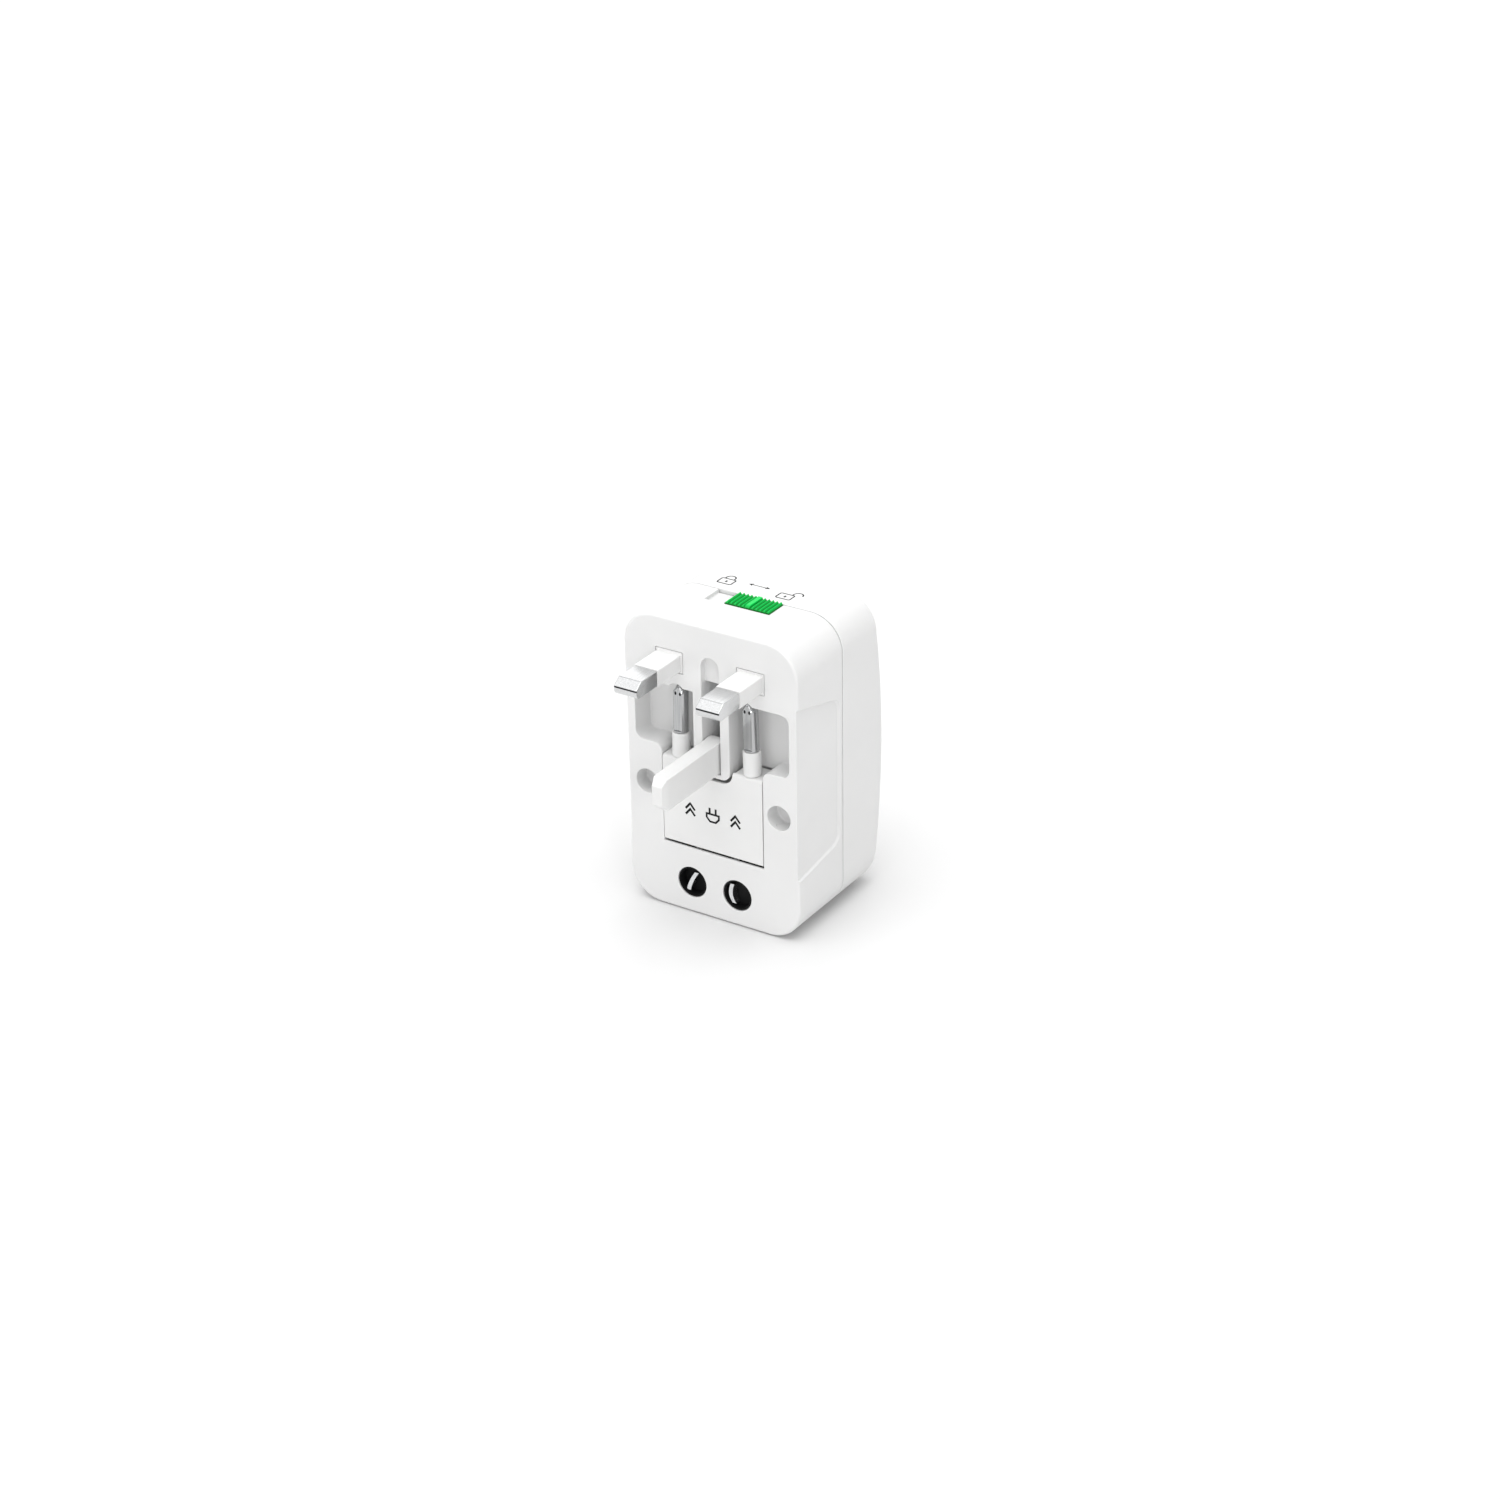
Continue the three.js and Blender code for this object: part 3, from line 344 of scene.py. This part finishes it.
def plastic(name, low, high, rough, grain=0.06, scuffs=0.10, gloss=0.5, glow=0.0, heights=None):
    """Moulded plastic: a fine spark-eroded grain, faint flow marks and a few hairline scuffs. Given two levels
    in Z, the colour runs from low to high between them instead of clouding: painted shade on the low parts,
    painted highlight on the high ones."""
    f = Finish(name, 0.0, sum(rough) / 2)
    f.shader.inputs["Specular IOR Level"].default_value = gloss
    if glow:
        f.shader.inputs["Subsurface Weight"].default_value = glow
        f.shader.inputs["Subsurface Radius"].default_value = (1.0, 0.95, 0.9)
        f.shader.inputs["Subsurface Scale"].default_value = 0.0008
    if heights:
        f.colour(f.span(f.along("Z"), *heights), low, high, (0.0, 1.0))
    else:
        f.colour(f.noise(55.0, 4.0), low, high)
    f.roughness(f.noise(420.0, 5.0, roughness=0.6), *rough)
    flow = f.bump(f.noise(130.0, 2.0), 0.05, 0.00008)
    fine = f.bump(f.noise(9000.0, 2.0), grain, 0.00002, flow)
    hair = f.ramp(f.noise(900.0, 2.0, stretch=(1.0, 0.06, 0.35)), (0.66, 0.0), (0.72, 1.0))
    f.normal(f.bump(hair, scuffs, 0.00001, fine))
    return f.material


def brushed(name, low, high, rough, stretch, depth=0.16, cloud=0.06, line=None):
    """Plated metal with fine draw marks along one direction and slight clouding.
    With line, (y, low, high), a near-black painted shade line lies in front of y, between the levels low and
    high."""
    f = Finish(name, 1.0, sum(rough) / 2)
    lines = f.noise(1.0, 6.0, stretch=stretch, roughness=0.7)
    f.colour(lines, low, high)
    f.roughness(f.noise(600.0, 4.0), *rough)
    f.normal(f.bump(lines, depth, 0.00002, f.bump(f.noise(350.0, 3.0), cloud, 0.00006)))
    # Painted shade line: the base colour turns near black in front of y, between the two levels.
    if line:
        y, bottom, top = line
        near = f.add("ShaderNodeMath", operation="COMPARE")
        near.inputs[1].default_value = (bottom + top) / 2
        near.inputs[2].default_value = (top - bottom) / 2
        f.link(f.along("Z"), near.inputs[0])
        front = f.add("ShaderNodeMath", operation="LESS_THAN")
        front.inputs[1].default_value = y
        f.link(f.along("Y"), front.inputs[0])
        both = f.add("ShaderNodeMath", operation="MULTIPLY")
        f.link(near.outputs["Value"], both.inputs[0])
        f.link(front.outputs["Value"], both.inputs[1])
        mix = f.add("ShaderNodeMix", data_type="RGBA")
        f.link(both.outputs["Value"], mix.inputs["Factor"])
        f.link(f.shader.inputs["Base Color"].links[0].from_socket, mix.inputs["A"])
        mix.inputs["B"].default_value = CHAMFER_SHADE_DARK
        f.link(mix.outputs["Result"], f.shader.inputs["Base Color"])
    return f.material


shell_white = plastic("shell_white", (0.70, 0.70, 0.698), (0.725, 0.725, 0.723), (0.36, 0.46), glow=0.12)
pin_white = plastic("pin_white", (0.71, 0.71, 0.706), (0.74, 0.74, 0.736), (0.40, 0.50), grain=0.05, glow=0.15)
inner_ivory = plastic("inner_ivory", (0.62, 0.62, 0.59), (0.67, 0.67, 0.64), (0.5, 0.6))
carrier_black = plastic("carrier_black", (0.003, 0.003, 0.0035), (0.006, 0.006, 0.0065), (0.6, 0.75), gloss=0.2)
print_black = plastic("print_black", (0.006, 0.006, 0.0065), (0.012, 0.012, 0.0125), (0.55, 0.65),
                      grain=0.1, gloss=0.2)
# The slider's colour is painted by height: near-black green at the foot of its ribs as painted shade, bright
# green at the rib tips as painted highlight.
RIB_LOW, RIB_HIGH = HEIGHT + 0.1, HEIGHT + 0.75
slider_green = plastic("slider_green", (0.0, 0.13, 0.008), (0.0, 0.60, 0.095), (0.30, 0.40),
                       heights=(RIB_LOW * MM, RIB_HIGH * MM), gloss=0.2)
BLADE_FRONT, CHAMFER_Z = FACE_Y - 18.0, PIN_Z + 3.85 / 2 - 1.6
# A painted shade line on the blades' nose: near black, about 0.4 mm tall just below the chamfer, on the front
# 0.25 mm.
CHAMFER_SHADE_LINE = ((BLADE_FRONT + 0.25) * MM, (CHAMFER_Z - 0.42) * MM, (CHAMFER_Z - 0.03) * MM)
nickel = brushed("nickel", (0.58, 0.585, 0.59), (0.74, 0.745, 0.75), (0.15, 0.22), (2600.0, 90.0, 9000.0),
                 0.08, 0.015, CHAMFER_SHADE_LINE)
# A darker copy of the nickel for the upright European pins: painted shade, darker than the plating itself, for
# the darker surroundings their upright sides reflect.
nickel_shaded_upright = brushed("nickel_shaded_upright", (0.36, 0.365, 0.37), (0.56, 0.565, 0.57), (0.10, 0.17),
                         (3000.0, 3000.0, 60.0), 0.08, 0.02)
clip_metal = brushed("clip_metal", (0.66, 0.67, 0.68), (0.82, 0.83, 0.84), (0.18, 0.3), (400.0, 2500.0, 400.0))
brass = brushed("brass_strip", (0.55, 0.37, 0.13), (0.68, 0.48, 0.20), (0.25, 0.38), (2400.0, 2400.0, 90.0))
steel = brushed("steel", (0.34, 0.345, 0.355), (0.48, 0.485, 0.495), (0.28, 0.42), (1800.0, 200.0, 1800.0))


# ---- plug module shell ----

def body_outline(inset, steps=14, divisions=(1, 1)):
    """The body's rounded outline, with its straight sides divided (upright, across)."""
    r = max(CORNER - inset, 0.4)
    half = WIDTH / 2 - inset
    corners = round_rect(-half, half, inset, HEIGHT - inset, r, steps)
    size = steps + 1
    points = []
    for quarter in range(4):
        part = corners[quarter * size:(quarter + 1) * size]
        following = corners[((quarter + 1) % 4) * size]
        points += part
        count = divisions[quarter % 2]
        for k in range(1, count):
            points.append(tuple(Vector(part[-1]).lerp(Vector(following), k / count)))
    return points


def cavity_outline():
    """The flap's opening and both finger pockets as one outline."""
    r = POCKET_CORNER
    right = [(FLAP_HALF, FLAP_BOTTOM - FLAP_BELOW)]
    right += arc(FLAP_HALF + r, LEDGE - r, r, 180, 90, 8)
    right += arc(POCKET_HALF - r, LEDGE + r, r, -90, 0, 8)
    right += arc(POCKET_HALF - r, POCKET_TOP - r, r, 0, 90, 8)
    return right + [(-x, z) for x, z in reversed(right)]


def pin_rest(side, grow):
    """The recess over the pocket that a European pin's tip rests in."""
    x = side * REST_X
    half = REST_HALF + grow
    return round_rect(x - half, x + half, REST_FOOT, REST_TOP + grow, REST_HALF - 0.1, 10)


def panel_cutter(side):
    """The shallow finger panel, open at the plug face, with a soft edge and a wider slope at its rear."""
    r = PANEL_CORNER
    low_front, high_front = PANEL_FRONT_Z
    low_rear, high_rear = PANEL_REAR_Z
    points = [(PANEL_FRONT, low_front)] + arc(PANEL_REAR - r, low_rear + r, r, -84, 0, 10)
    points += arc(PANEL_REAR - r, high_rear - r, r, 0, 76, 10) + [(PANEL_FRONT, high_front)]
    rings = [[(side * (WIDTH / 2 + 1), y, z) for y, z in offset(points, PANEL_RIM)]]
    steps = 10
    for t in (k / steps for k in range(steps + 1)):
        x = side * (WIDTH / 2 - PANEL_DEPTH * t * (1 + 3 * t - 2 * t * t) / 2)
        shrink = 1 - PANEL_SLOPE * t / (PANEL_REAR - PANEL_FRONT)
        outline = offset(points, PANEL_RIM - PANEL_FALL * t)
        rings.append([(x, PANEL_FRONT + (y - PANEL_FRONT) * shrink, z) for y, z in outline])
    return loft("tool", rings)


def plug_skin():
    """The outside of the plug module, with a filleted face and a slightly eased seam."""
    quarter = quarter_turn(6)
    rings = [along_y(body_outline(FRONT_FILLET * (1 - math.sin(a))), FACE_Y + FRONT_FILLET * (1 - math.cos(a)))
             for a in quarter]
    rings += [along_y(body_outline(SEAM_EDGE * (1 - math.cos(a))), SEAM_Y - SEAM_EDGE * (1 - math.sin(a)))
              for a in quarter[::2]]
    return loft("plug_shell_fine", rings)


def linings():
    """The walls inside the shell, around everything that is sunk into it."""
    back = FACE_Y + DEEP + FLOOR
    lining = offset(cavity_outline(), LINING)
    channel = round_rect(-CHANNEL_OUTER, CHANNEL_OUTER, POCKET_TOP - 1, CHANNEL_TOP + LINING, 1)
    groove = round_rect(-CHANNEL_OUTER, CHANNEL_OUTER, CHANNEL_TOP - 2, GROOVE_TOP + LINING, 3)
    slot = round_rect(SLOT_X[0] - 1, SLOT_X[1] + 1, SLOT_BASE, HEIGHT - 1, 0.3)
    blocks = [
        prism(lining, INNER_Y, back),
        prism(channel, INNER_Y, back),
        prism(groove, INNER_Y, FACE_Y + GROOVE_DEPTH + FLOOR),
        prism(slot, *SLOT_BASE_Y),
    ]
    for s in (-1, 1):
        blocks.append(prism(pin_rest(s, 1.0), INNER_Y, FACE_Y + REST_DEPTH + THIN_LINING))
    for s in (-1, 1):
        blocks.append(prism(circle(s * SIDE_X, SIDE_Z, SIDE_R + THIN_LINING), INNER_Y, back))
    return blocks


def cavity_cutter():
    """The pockets, deeper behind the flap, and around the island that holds the earth pin."""
    cavity = pocket(cavity_outline(), SHALLOW, rim=0.22, floor=0.5)
    deep = round_rect(-FLAP_HALF, FLAP_HALF, FLAP_BOTTOM - FLAP_BELOW, FLAP_TOP + FLAP_OVER, 0.1, 2)
    merged(cavity, "UNION", [prism(deep, INNER_Y, FACE_Y + DEEP)])
    points = round_rect(-ISLAND_HALF, ISLAND_HALF, ISLAND_BOTTOM, POCKET_TOP + 4, ISLAND_CORNER)
    rings = [along_y(offset(points, -o), FACE_Y + d) for d, o in rim_profile(DEEP + 2, ISLAND_RIM, 0)]
    return merged(cavity, "DIFFERENCE", [loft("tool", rings)])


def plug_cutters():
    """Everything that is cut out of the plug module's shell."""
    hinge = round_rect(-FLAP_HALF, FLAP_HALF, FLAP_BOTTOM - HINGE_BELOW, FLAP_BOTTOM + HINGE_OVER, 0.1)
    channel = round_rect(-CHANNEL_HALF, CHANNEL_HALF, CHANNEL_BOTTOM, CHANNEL_TOP, 0.15)
    groove = round_rect(-CHANNEL_HALF, CHANNEL_HALF, CHANNEL_TOP - 4, GROOVE_TOP, CHANNEL_HALF - 0.02)
    cutters = [
        cavity_cutter(),
        prism(hinge, HINGE_Y, FACE_Y + DEEP),
        pocket(channel, CHANNEL_DEPTH, rim=0.2, floor=0.2),
        pocket(groove, GROOVE_DEPTH, rim=0.2, floor=0.3),
    ]
    half_x, half_z = (half + COLLAR_GAP for half in COLLAR_HALF)
    for s in (-1, 1):
        x = s * PIN_X
        collar = round_rect(x - half_x, x + half_x, PIN_Z - half_z, PIN_Z + half_z, 0.2, 4)
        cutters.append(pocket(collar, WALL + 1, rim=0.06, floor=0))
        cutters.append(pocket(pin_rest(s, 0.0), REST_DEPTH, rim=0.12, floor=0.3))
        cutters.append(pocket(circle(s * SIDE_X, SIDE_Z, SIDE_R), SIDE_DEPTH, rim=0.18, floor=0.4))
        cutters.append(pocket(circle(s * WELL_X, WELL_Z, WELL_R, 64), WALL + 1, rim=0.2, floor=0))
        cutters.append(panel_cutter(s))
    slot = round_rect(*SLOT_X, HEIGHT - SLOT_DEPTH, HEIGHT + 1, 0.12)
    stem = round_rect(*STEM_X, STEM_LOW, HEIGHT, 0.1, 2)
    pinhole = [(PINHOLE_X + x, PINHOLE_Y + y) for x, y in circle(0, 0, PINHOLE_R, 12)]
    cutters.append(prism(slot, SLOT_Y, SEAM_Y + 1))
    cutters.append(prism(stem, *STEM_Y))
    cutters.append(loft("tool", [[(x, y, z) for x, y in pinhole] for z in PINHOLE_Z]))
    return cutters


def plug_shell():
    shell = plug_skin()
    merged(shell, "DIFFERENCE", [prism(body_outline(WALL), FACE_Y + WALL, SEAM_Y + 1)])
    merged(shell, "UNION", linings())
    merged(shell, "DIFFERENCE", plug_cutters())
    tabs = [round_rect(s * TAB_X - TAB_HALF, s * TAB_X + TAB_HALF, TAB_LOW, TAB_HIGH, 0.15) for s in (-1, 1)]
    merged(shell, "UNION", [prism(tab, *TAB_Y) for tab in tabs])
    return smooth(shell)


place(plug_shell(), "plug_module", "shell_white", shell_white, "plug_shell")


# ---- socket module shell ----

def crown(x, z):
    u = x / (WIDTH / 2)
    v = (z - HEIGHT / 2) / (HEIGHT / 2)
    return CROWN_Y - CROWN_DROP_X * u * u - CROWN_DROP_Z * v * v


def crowned(name, inset, y0, fillet, edge):
    """The socket module's body: straight sides, a rounded brim and a crowned face."""
    def outline(further):
        return body_outline(inset + further, 12, divisions=(9, 5))

    quarter = quarter_turn(8)
    rings = [along_y(outline(edge * (1 - math.sin(a))), y0 + edge * (1 - math.cos(a)))
             for a in (quarter[::2] if edge else quarter[-1:])]
    for a in quarter:
        points = outline(fillet * (1 - math.cos(a)))
        rings.append([(x, crown(x, z) - inset - fillet * (1 - math.sin(a)), z) for x, z in points])
    inner = outline(fillet)
    for t in CROWN_RINGS:
        ring = [(x * t, HEIGHT / 2 + (z - HEIGHT / 2) * t) for x, z in inner]
        rings.append([(x, crown(x, z) - inset, z) for x, z in ring])
    return loft(name, rings)


def power_aperture(side):
    """One of the two apertures that take a round pin, a flat blade or a slanting one."""
    corners = [(5.2, -3.9), (7.4, -3.9), (7.4, -2.5), (9.5, -2.5), (11.3, -2.3), (14.9, -2.3),
               (14.9, 2.3), (11.3, 2.3), (9.5, 2.5), (7.4, 2.5), (7.4, 3.9), (5.2, 3.9)]
    points = [(side * x, SOCKET_Z + z) for x, z in corners]
    return points if side > 0 else points[::-1]


def socket_shell():
    shell = crowned("socket_shell_fine", 0.0, SOCKET_Y, BACK_FILLET, SEAM_EDGE)
    merged(shell, "DIFFERENCE", [crowned("tool", WALL, SOCKET_Y - 1, 1.0, 0.0)])
    half, low, high, corner = EARTH_APERTURE
    outlines = [power_aperture(-1), power_aperture(1),
                round_rect(-half, half, low, high, corner), circle(*ROUND_APERTURE)]
    merged(shell, "DIFFERENCE", [prism(points, *APERTURE_Y) for points in outlines])
    return smooth(shell)


place(socket_shell(), "socket_module", "shell_white", shell_white, "socket_shell")


# ---- pieces that keep their CAD shape, with fine edges ----

refined("euro_flap", "euro_flap", "pin_white", pin_white, 0.22)
refined("flap_cover", "euro_flap", "pin_white", pin_white, 0.12)
refined("earth_pin", "earth_pin", "pin_white", pin_white, 0.5, 4)
refined("lock_slider", "lock_slider", "slider_green", slider_green, 0.10, 2)
refined("lock_latch", "lock_slider", "steel", steel, 0.10, 2)
refined("contact_carrier", "plug_module", "carrier_black", carrier_black, 0.10, 2)
refined("plug_back_plate", "plug_module", "inner_ivory", inner_ivory, 0.12, 2)
refined("socket_front_plate", "socket_module", "inner_ivory", inner_ivory, 0.12, 2)
for side in ("left", "right"):
    refined("uk_sleeve_" + side, "plug_module", "pin_white", pin_white, 0.22)
    refined("uk_blade_" + side, "plug_module", "nickel", nickel, 0.16)
    refined("contact_clip_" + side, "plug_module", "nickel", clip_metal, 0.08, 2)
    refined("us_rotor_" + side, "us_blade_" + side, "inner_ivory", inner_ivory, 0.12, 2)
    refined("us_blade_" + side, "us_blade_" + side, "nickel", nickel, 0.12, 2)
    for node in ("bus_bar_", "hinge_leaf_"):
        refined(node + side, "plug_module", "brass_strip", brass, 0.06, 2)
    for node in ("socket_contact_", "rotor_wiper_"):
        refined(node + side, "socket_module", "brass_strip", brass, 0.06, 2)
    refined("case_screw_" + side, "plug_module", "steel", steel, 0.08, 2)
for number in range(1, 5):
    refined("socket_screw_%d" % number, "socket_module", "steel", steel, 0.08, 2)
refined("flap_hinge_rod", "plug_module", "steel", steel, 0.10, 2)
refined("earth_axle", "plug_module", "steel", steel, 0.10, 2)
refined("earth_detent_leaf", "plug_module", "steel", steel, 0.05, 2)


# ---- European pins, turned ----

def turned(name, side, profile):
    """A lathe piece on the pin's leaning axis: profile rows are (radius, height)."""
    steps = 40
    turn = [2 * math.pi * k / steps for k in range(steps)]
    rings = [[(r * math.cos(a), r * math.sin(a), h) for a in turn] for r, h in profile]
    piece = loft(name, rings)
    lean = Matrix.Rotation(math.radians(-side * EURO_LEAN), 4, "Y")
    place_at = Matrix.Translation(Vector((side * EURO_X, EURO_Y, FLAP_TOP)) * MM)
    piece.data.transform(place_at @ lean)
    return piece


def euro_pin(side, name):
    """A pin with a pointed tip, a flat down its front and two dimples near the tip."""
    r, top, base = EURO_R, EURO_LENGTH, SLEEVE_LENGTH
    shoulder = top - EURO_CONE
    profile = [(STEM_R, STEM_FOOT), (STEM_R, base + 0.1), (r - 0.08, base + 0.1), (r, base + 0.2),
               (r, shoulder - 0.12), (r - 0.06, shoulder + 0.06), (r * 0.42, top - 0.42), (r * 0.30, top - 0.2),
               (r * 0.12, top - 0.05), (0.05, top - 0.02)]
    pin = turned(name, side, profile)
    low, high = FLAP_TOP + base + 0.5, FLAP_TOP + top + 1
    flat = round_rect(side * EURO_X - 3, side * EURO_X + 3, low, high, 0.3, 3)
    cutters = [prism(flat, FLAT_Y - 1.5, FLAT_Y)]
    axis = side * (EURO_X - math.tan(math.radians(EURO_LEAN)) * (top - DIMPLE_DROP))
    height = FLAP_TOP + top - DIMPLE_DROP
    turn = [math.pi * k / 8 for k in range(16)]
    for x in (axis - DIMPLE_X, axis + DIMPLE_X):
        rings = [along_y([(x + DIMPLE_WIDE * grow * math.cos(a), height + DIMPLE_HIGH * grow * math.sin(a))
                          for a in turn], FLAT_Y + depth)
                 for depth, grow in ((-0.5, 1.2), (0.0, 1.1), (0.6, 1.0), (0.9, 0.6))]
        cutters.append(loft("tool", rings))
    return merged(pin, "DIFFERENCE", cutters)


def euro_sleeve(side, name):
    r, bore, top = SLEEVE_R, SLEEVE_BORE, SLEEVE_LENGTH
    profile = [(bore, 0.1), (r - 0.05, 0.1), (r, 0.16), (r, top - 0.22), (r - 0.04, top - 0.08),
               (r - 0.13, top), (bore, top)]
    return turned(name, side, profile)


for s, side in ((-1, "left"), (1, "right")):
    for make, node, slot, finish in ((euro_pin, "euro_pin_" + side, "nickel", nickel_shaded_upright),
                                     (euro_sleeve, "euro_sleeve_" + side, "pin_white", pin_white)):
        place(smooth(make(s, node + "_fine"), 40), "euro_flap", slot, finish, node)


# ---- printed symbols ----

def ribbon(bm, points, width, closed, to_space):
    """A flat printed stroke along points, given in the print's own plane."""
    count = len(points)
    edges = []
    for k, here in enumerate(points):
        p = Vector(here)
        before = p - Vector(points[k - 1]) if closed or k else Vector(points[1]) - p
        after = Vector(points[(k + 1) % count]) - p if closed or k + 1 < count else before
        n1 = Vector((-before.y, before.x)).normalized()
        n2 = Vector((-after.y, after.x)).normalized()
        bisector = (n1 + n2).normalized()
        reach = width / 2 / max(bisector.dot(n1), 0.4)
        edges.append([bm.verts.new(to_space(p + bisector * reach * side, lift))
                      for lift in (0.0, 1.0) for side in (1, -1)])
    last = count if closed else count - 1
    for k in range(last):
        a, b = edges[k], edges[(k + 1) % count]
        for i, j in ((0, 1), (3, 2), (1, 3), (2, 0)):
            bm.faces.new((a[i], a[j], b[j], b[i]))
    if not closed:
        for end in (edges[0], edges[-1]):
            bm.faces.new((end[0], end[1], end[3], end[2]))


def printed(name, strokes, to_space):
    bm = bmesh.new()
    for points, width, closed in strokes:
        ribbon(bm, points, width, closed, to_space)
    return finish_mesh(bm, name)


PRINT_LIFT, PRINT_THICK = 0.004, 0.012
LOCK_LINE, KEYHOLE_LINE, ARROW_LINE, FLAP_LINE = 0.34, 0.5, 0.26, 0.55


def padlock(cx, cy, is_open):
    """Body, keyhole and shackle, 4.5 mm tall; the open one's shackle stands to one side."""
    body = round_rect(cx - 1.9, cx + 1.9, cy - 2.2, cy + 0.5, 0.4, 4)
    shift = 2.4 if is_open else 0.0
    foot = cy + 0.5
    left, right = cx - 1.2 + shift, cx + 1.2 + shift
    far = foot + 0.5 if is_open else foot
    shackle = [(left, foot)] + arc(cx + shift, cy + 1.1, 1.2, 180, 0, 10) + [(right, far)]
    keyhole = [(cx, cy - 1.35), (cx, cy - 0.45)]
    return [(body, LOCK_LINE, True), (shackle, LOCK_LINE, False), (keyhole, KEYHOLE_LINE, False)]


def double_arrow(x0, x1, y, head=0.85):
    strokes = [([(x0 + 0.2, y), (x1 - 0.2, y)], ARROW_LINE, False)]
    for tip, way in ((x0, 1), (x1, -1)):
        back, spread = tip + way * head, head * 0.55
        strokes.append(([(back, y + spread), (tip, y), (back, y - spread)], ARROW_LINE, False))
    return strokes


def on_top(p, lift):
    return Vector((p.x, p.y, HEIGHT + PRINT_LIFT + PRINT_THICK * lift)) * MM


def on_face(p, lift):
    return Vector((p.x, FACE_Y - PRINT_LIFT - PRINT_THICK * lift, p.y)) * MM


top_symbols = padlock(-10.6, 15.1, False) + double_arrow(-5.0, 0.3, 15.7) + padlock(5.8, 14.8, True)
place(printed("lock_print", top_symbols, on_top), "socket_module", "carrier_black", print_black)


def chevron(cx, cz, half=1.3):
    rise = half * 0.6
    return [(cx - half, cz - rise), (cx, cz + rise), (cx + half, cz - rise)]


plug_body = [(-1.7, 28.0), (-1.7, 27.0), (-0.8, 26.0), (0.8, 26.0), (1.7, 27.0), (1.7, 28.0)]
flap_symbols = [(plug_body, 0.5, True)] + [([(x, 28.2), (x, 29.6)], FLAP_LINE, False) for x in (-0.85, 0.85)]
for cx in (-6.3, 6.3):
    flap_symbols += [(chevron(cx, cz), FLAP_LINE, False) for cz in (27.0, 28.5)]
place(printed("flap_print", flap_symbols, on_face), "euro_flap", "carrier_black", print_black)


# ---- stage, light and camera ----

def floor_material():
    f = Finish("floor_white", 0.0, 0.6)
    f.shader.inputs["Specular IOR Level"].default_value = 0.15
    f.colour(f.noise(3.0, 2.0), (0.69, 0.69, 0.69), (0.71, 0.71, 0.71))
    f.normal(f.bump(f.noise(500.0, 2.0), 0.02, 0.0001))
    return f.material


GROUND_HALF, GROUND_DROP = 8.0, 0.0002

bm = bmesh.new()
bmesh.ops.create_grid(bm, x_segments=4, y_segments=4, size=GROUND_HALF)
floor = finish_mesh(bm, "floor")
floor.location = (0, 0, -GROUND_DROP)
floor.data.materials.append(floor_material())

# The sky's strength against the height of the direction it is seen in
SKY = ((0.09, 0.95), (0.14, 0.30), (0.42, 0.80), (1.0, 0.80))
world = bpy.data.worlds.new("studio")
world.use_nodes = True
sky = world.node_tree
direction = sky.nodes.new("ShaderNodeTexCoord")
split = sky.nodes.new("ShaderNodeSeparateXYZ")
rise = sky.nodes.new("ShaderNodeValToRGB")
stops = rise.color_ramp.elements
for height, strength in SKY[1:3]:
    stops.new(height)
for stop, (height, strength) in zip(stops, SKY):
    stop.position = height
    stop.color = (strength, strength, strength, 1.0)
sky.links.new(direction.outputs["Generated"], split.inputs["Vector"])
sky.links.new(split.outputs["Z"], rise.inputs["Fac"])
sky.links.new(rise.outputs["Color"], sky.nodes["Background"].inputs["Strength"])
sky.nodes["Background"].inputs["Color"].default_value = (1.0, 1.0, 1.0, 1.0)
bpy.context.scene.world = world


def sun(name, towards, strength, spread):
    """A soft sun that shines from a direction, with its spread in degrees."""
    data = bpy.data.lights.new(name, "SUN")
    data.energy = strength
    data.angle = math.radians(spread)
    lamp = new_object(name, data)
    lamp.rotation_mode = "QUATERNION"
    lamp.rotation_quaternion = Vector(towards).to_track_quat("Z", "Y")


sun("overhead", (0.05, -0.12, 1.0), 1.9, 50)
sun("front_right", (0.68, -0.62, 0.36), 0.36, 12)
sun("front_left", (-0.49, -0.43, 0.72), 0.20, 40)
sun("front", (0.05, -1.0, 0.1), 0.60, 45)
sun("rear", (-0.3, 1.0, 0.35), 0.45, 50)

CAMERA_PLACE, LENS, SENSOR = (0.38897, -0.59197, 0.40439), 81.41, 36.0
yaw, pitch, roll = math.radians(33.01), math.radians(27.18), math.radians(-0.999)
camera_data = bpy.data.cameras.new("camera")
camera_data.sensor_width = SENSOR
camera_data.lens = LENS
camera = new_object("camera", camera_data)
forward = Vector((-math.sin(yaw) * math.cos(pitch), math.cos(yaw) * math.cos(pitch), -math.sin(pitch)))
right = forward.cross(Vector((0, 0, 1))).normalized()
up = right.cross(forward)
right, up = (right * math.cos(roll) + up * math.sin(roll), up * math.cos(roll) - right * math.sin(roll))
turn = Matrix((right, up, -forward)).transposed()
camera.matrix_world = Matrix.Translation(CAMERA_PLACE) @ turn.to_4x4()
bpy.context.scene.camera = camera
bpy.context.scene.view_settings.view_transform = "Standard"
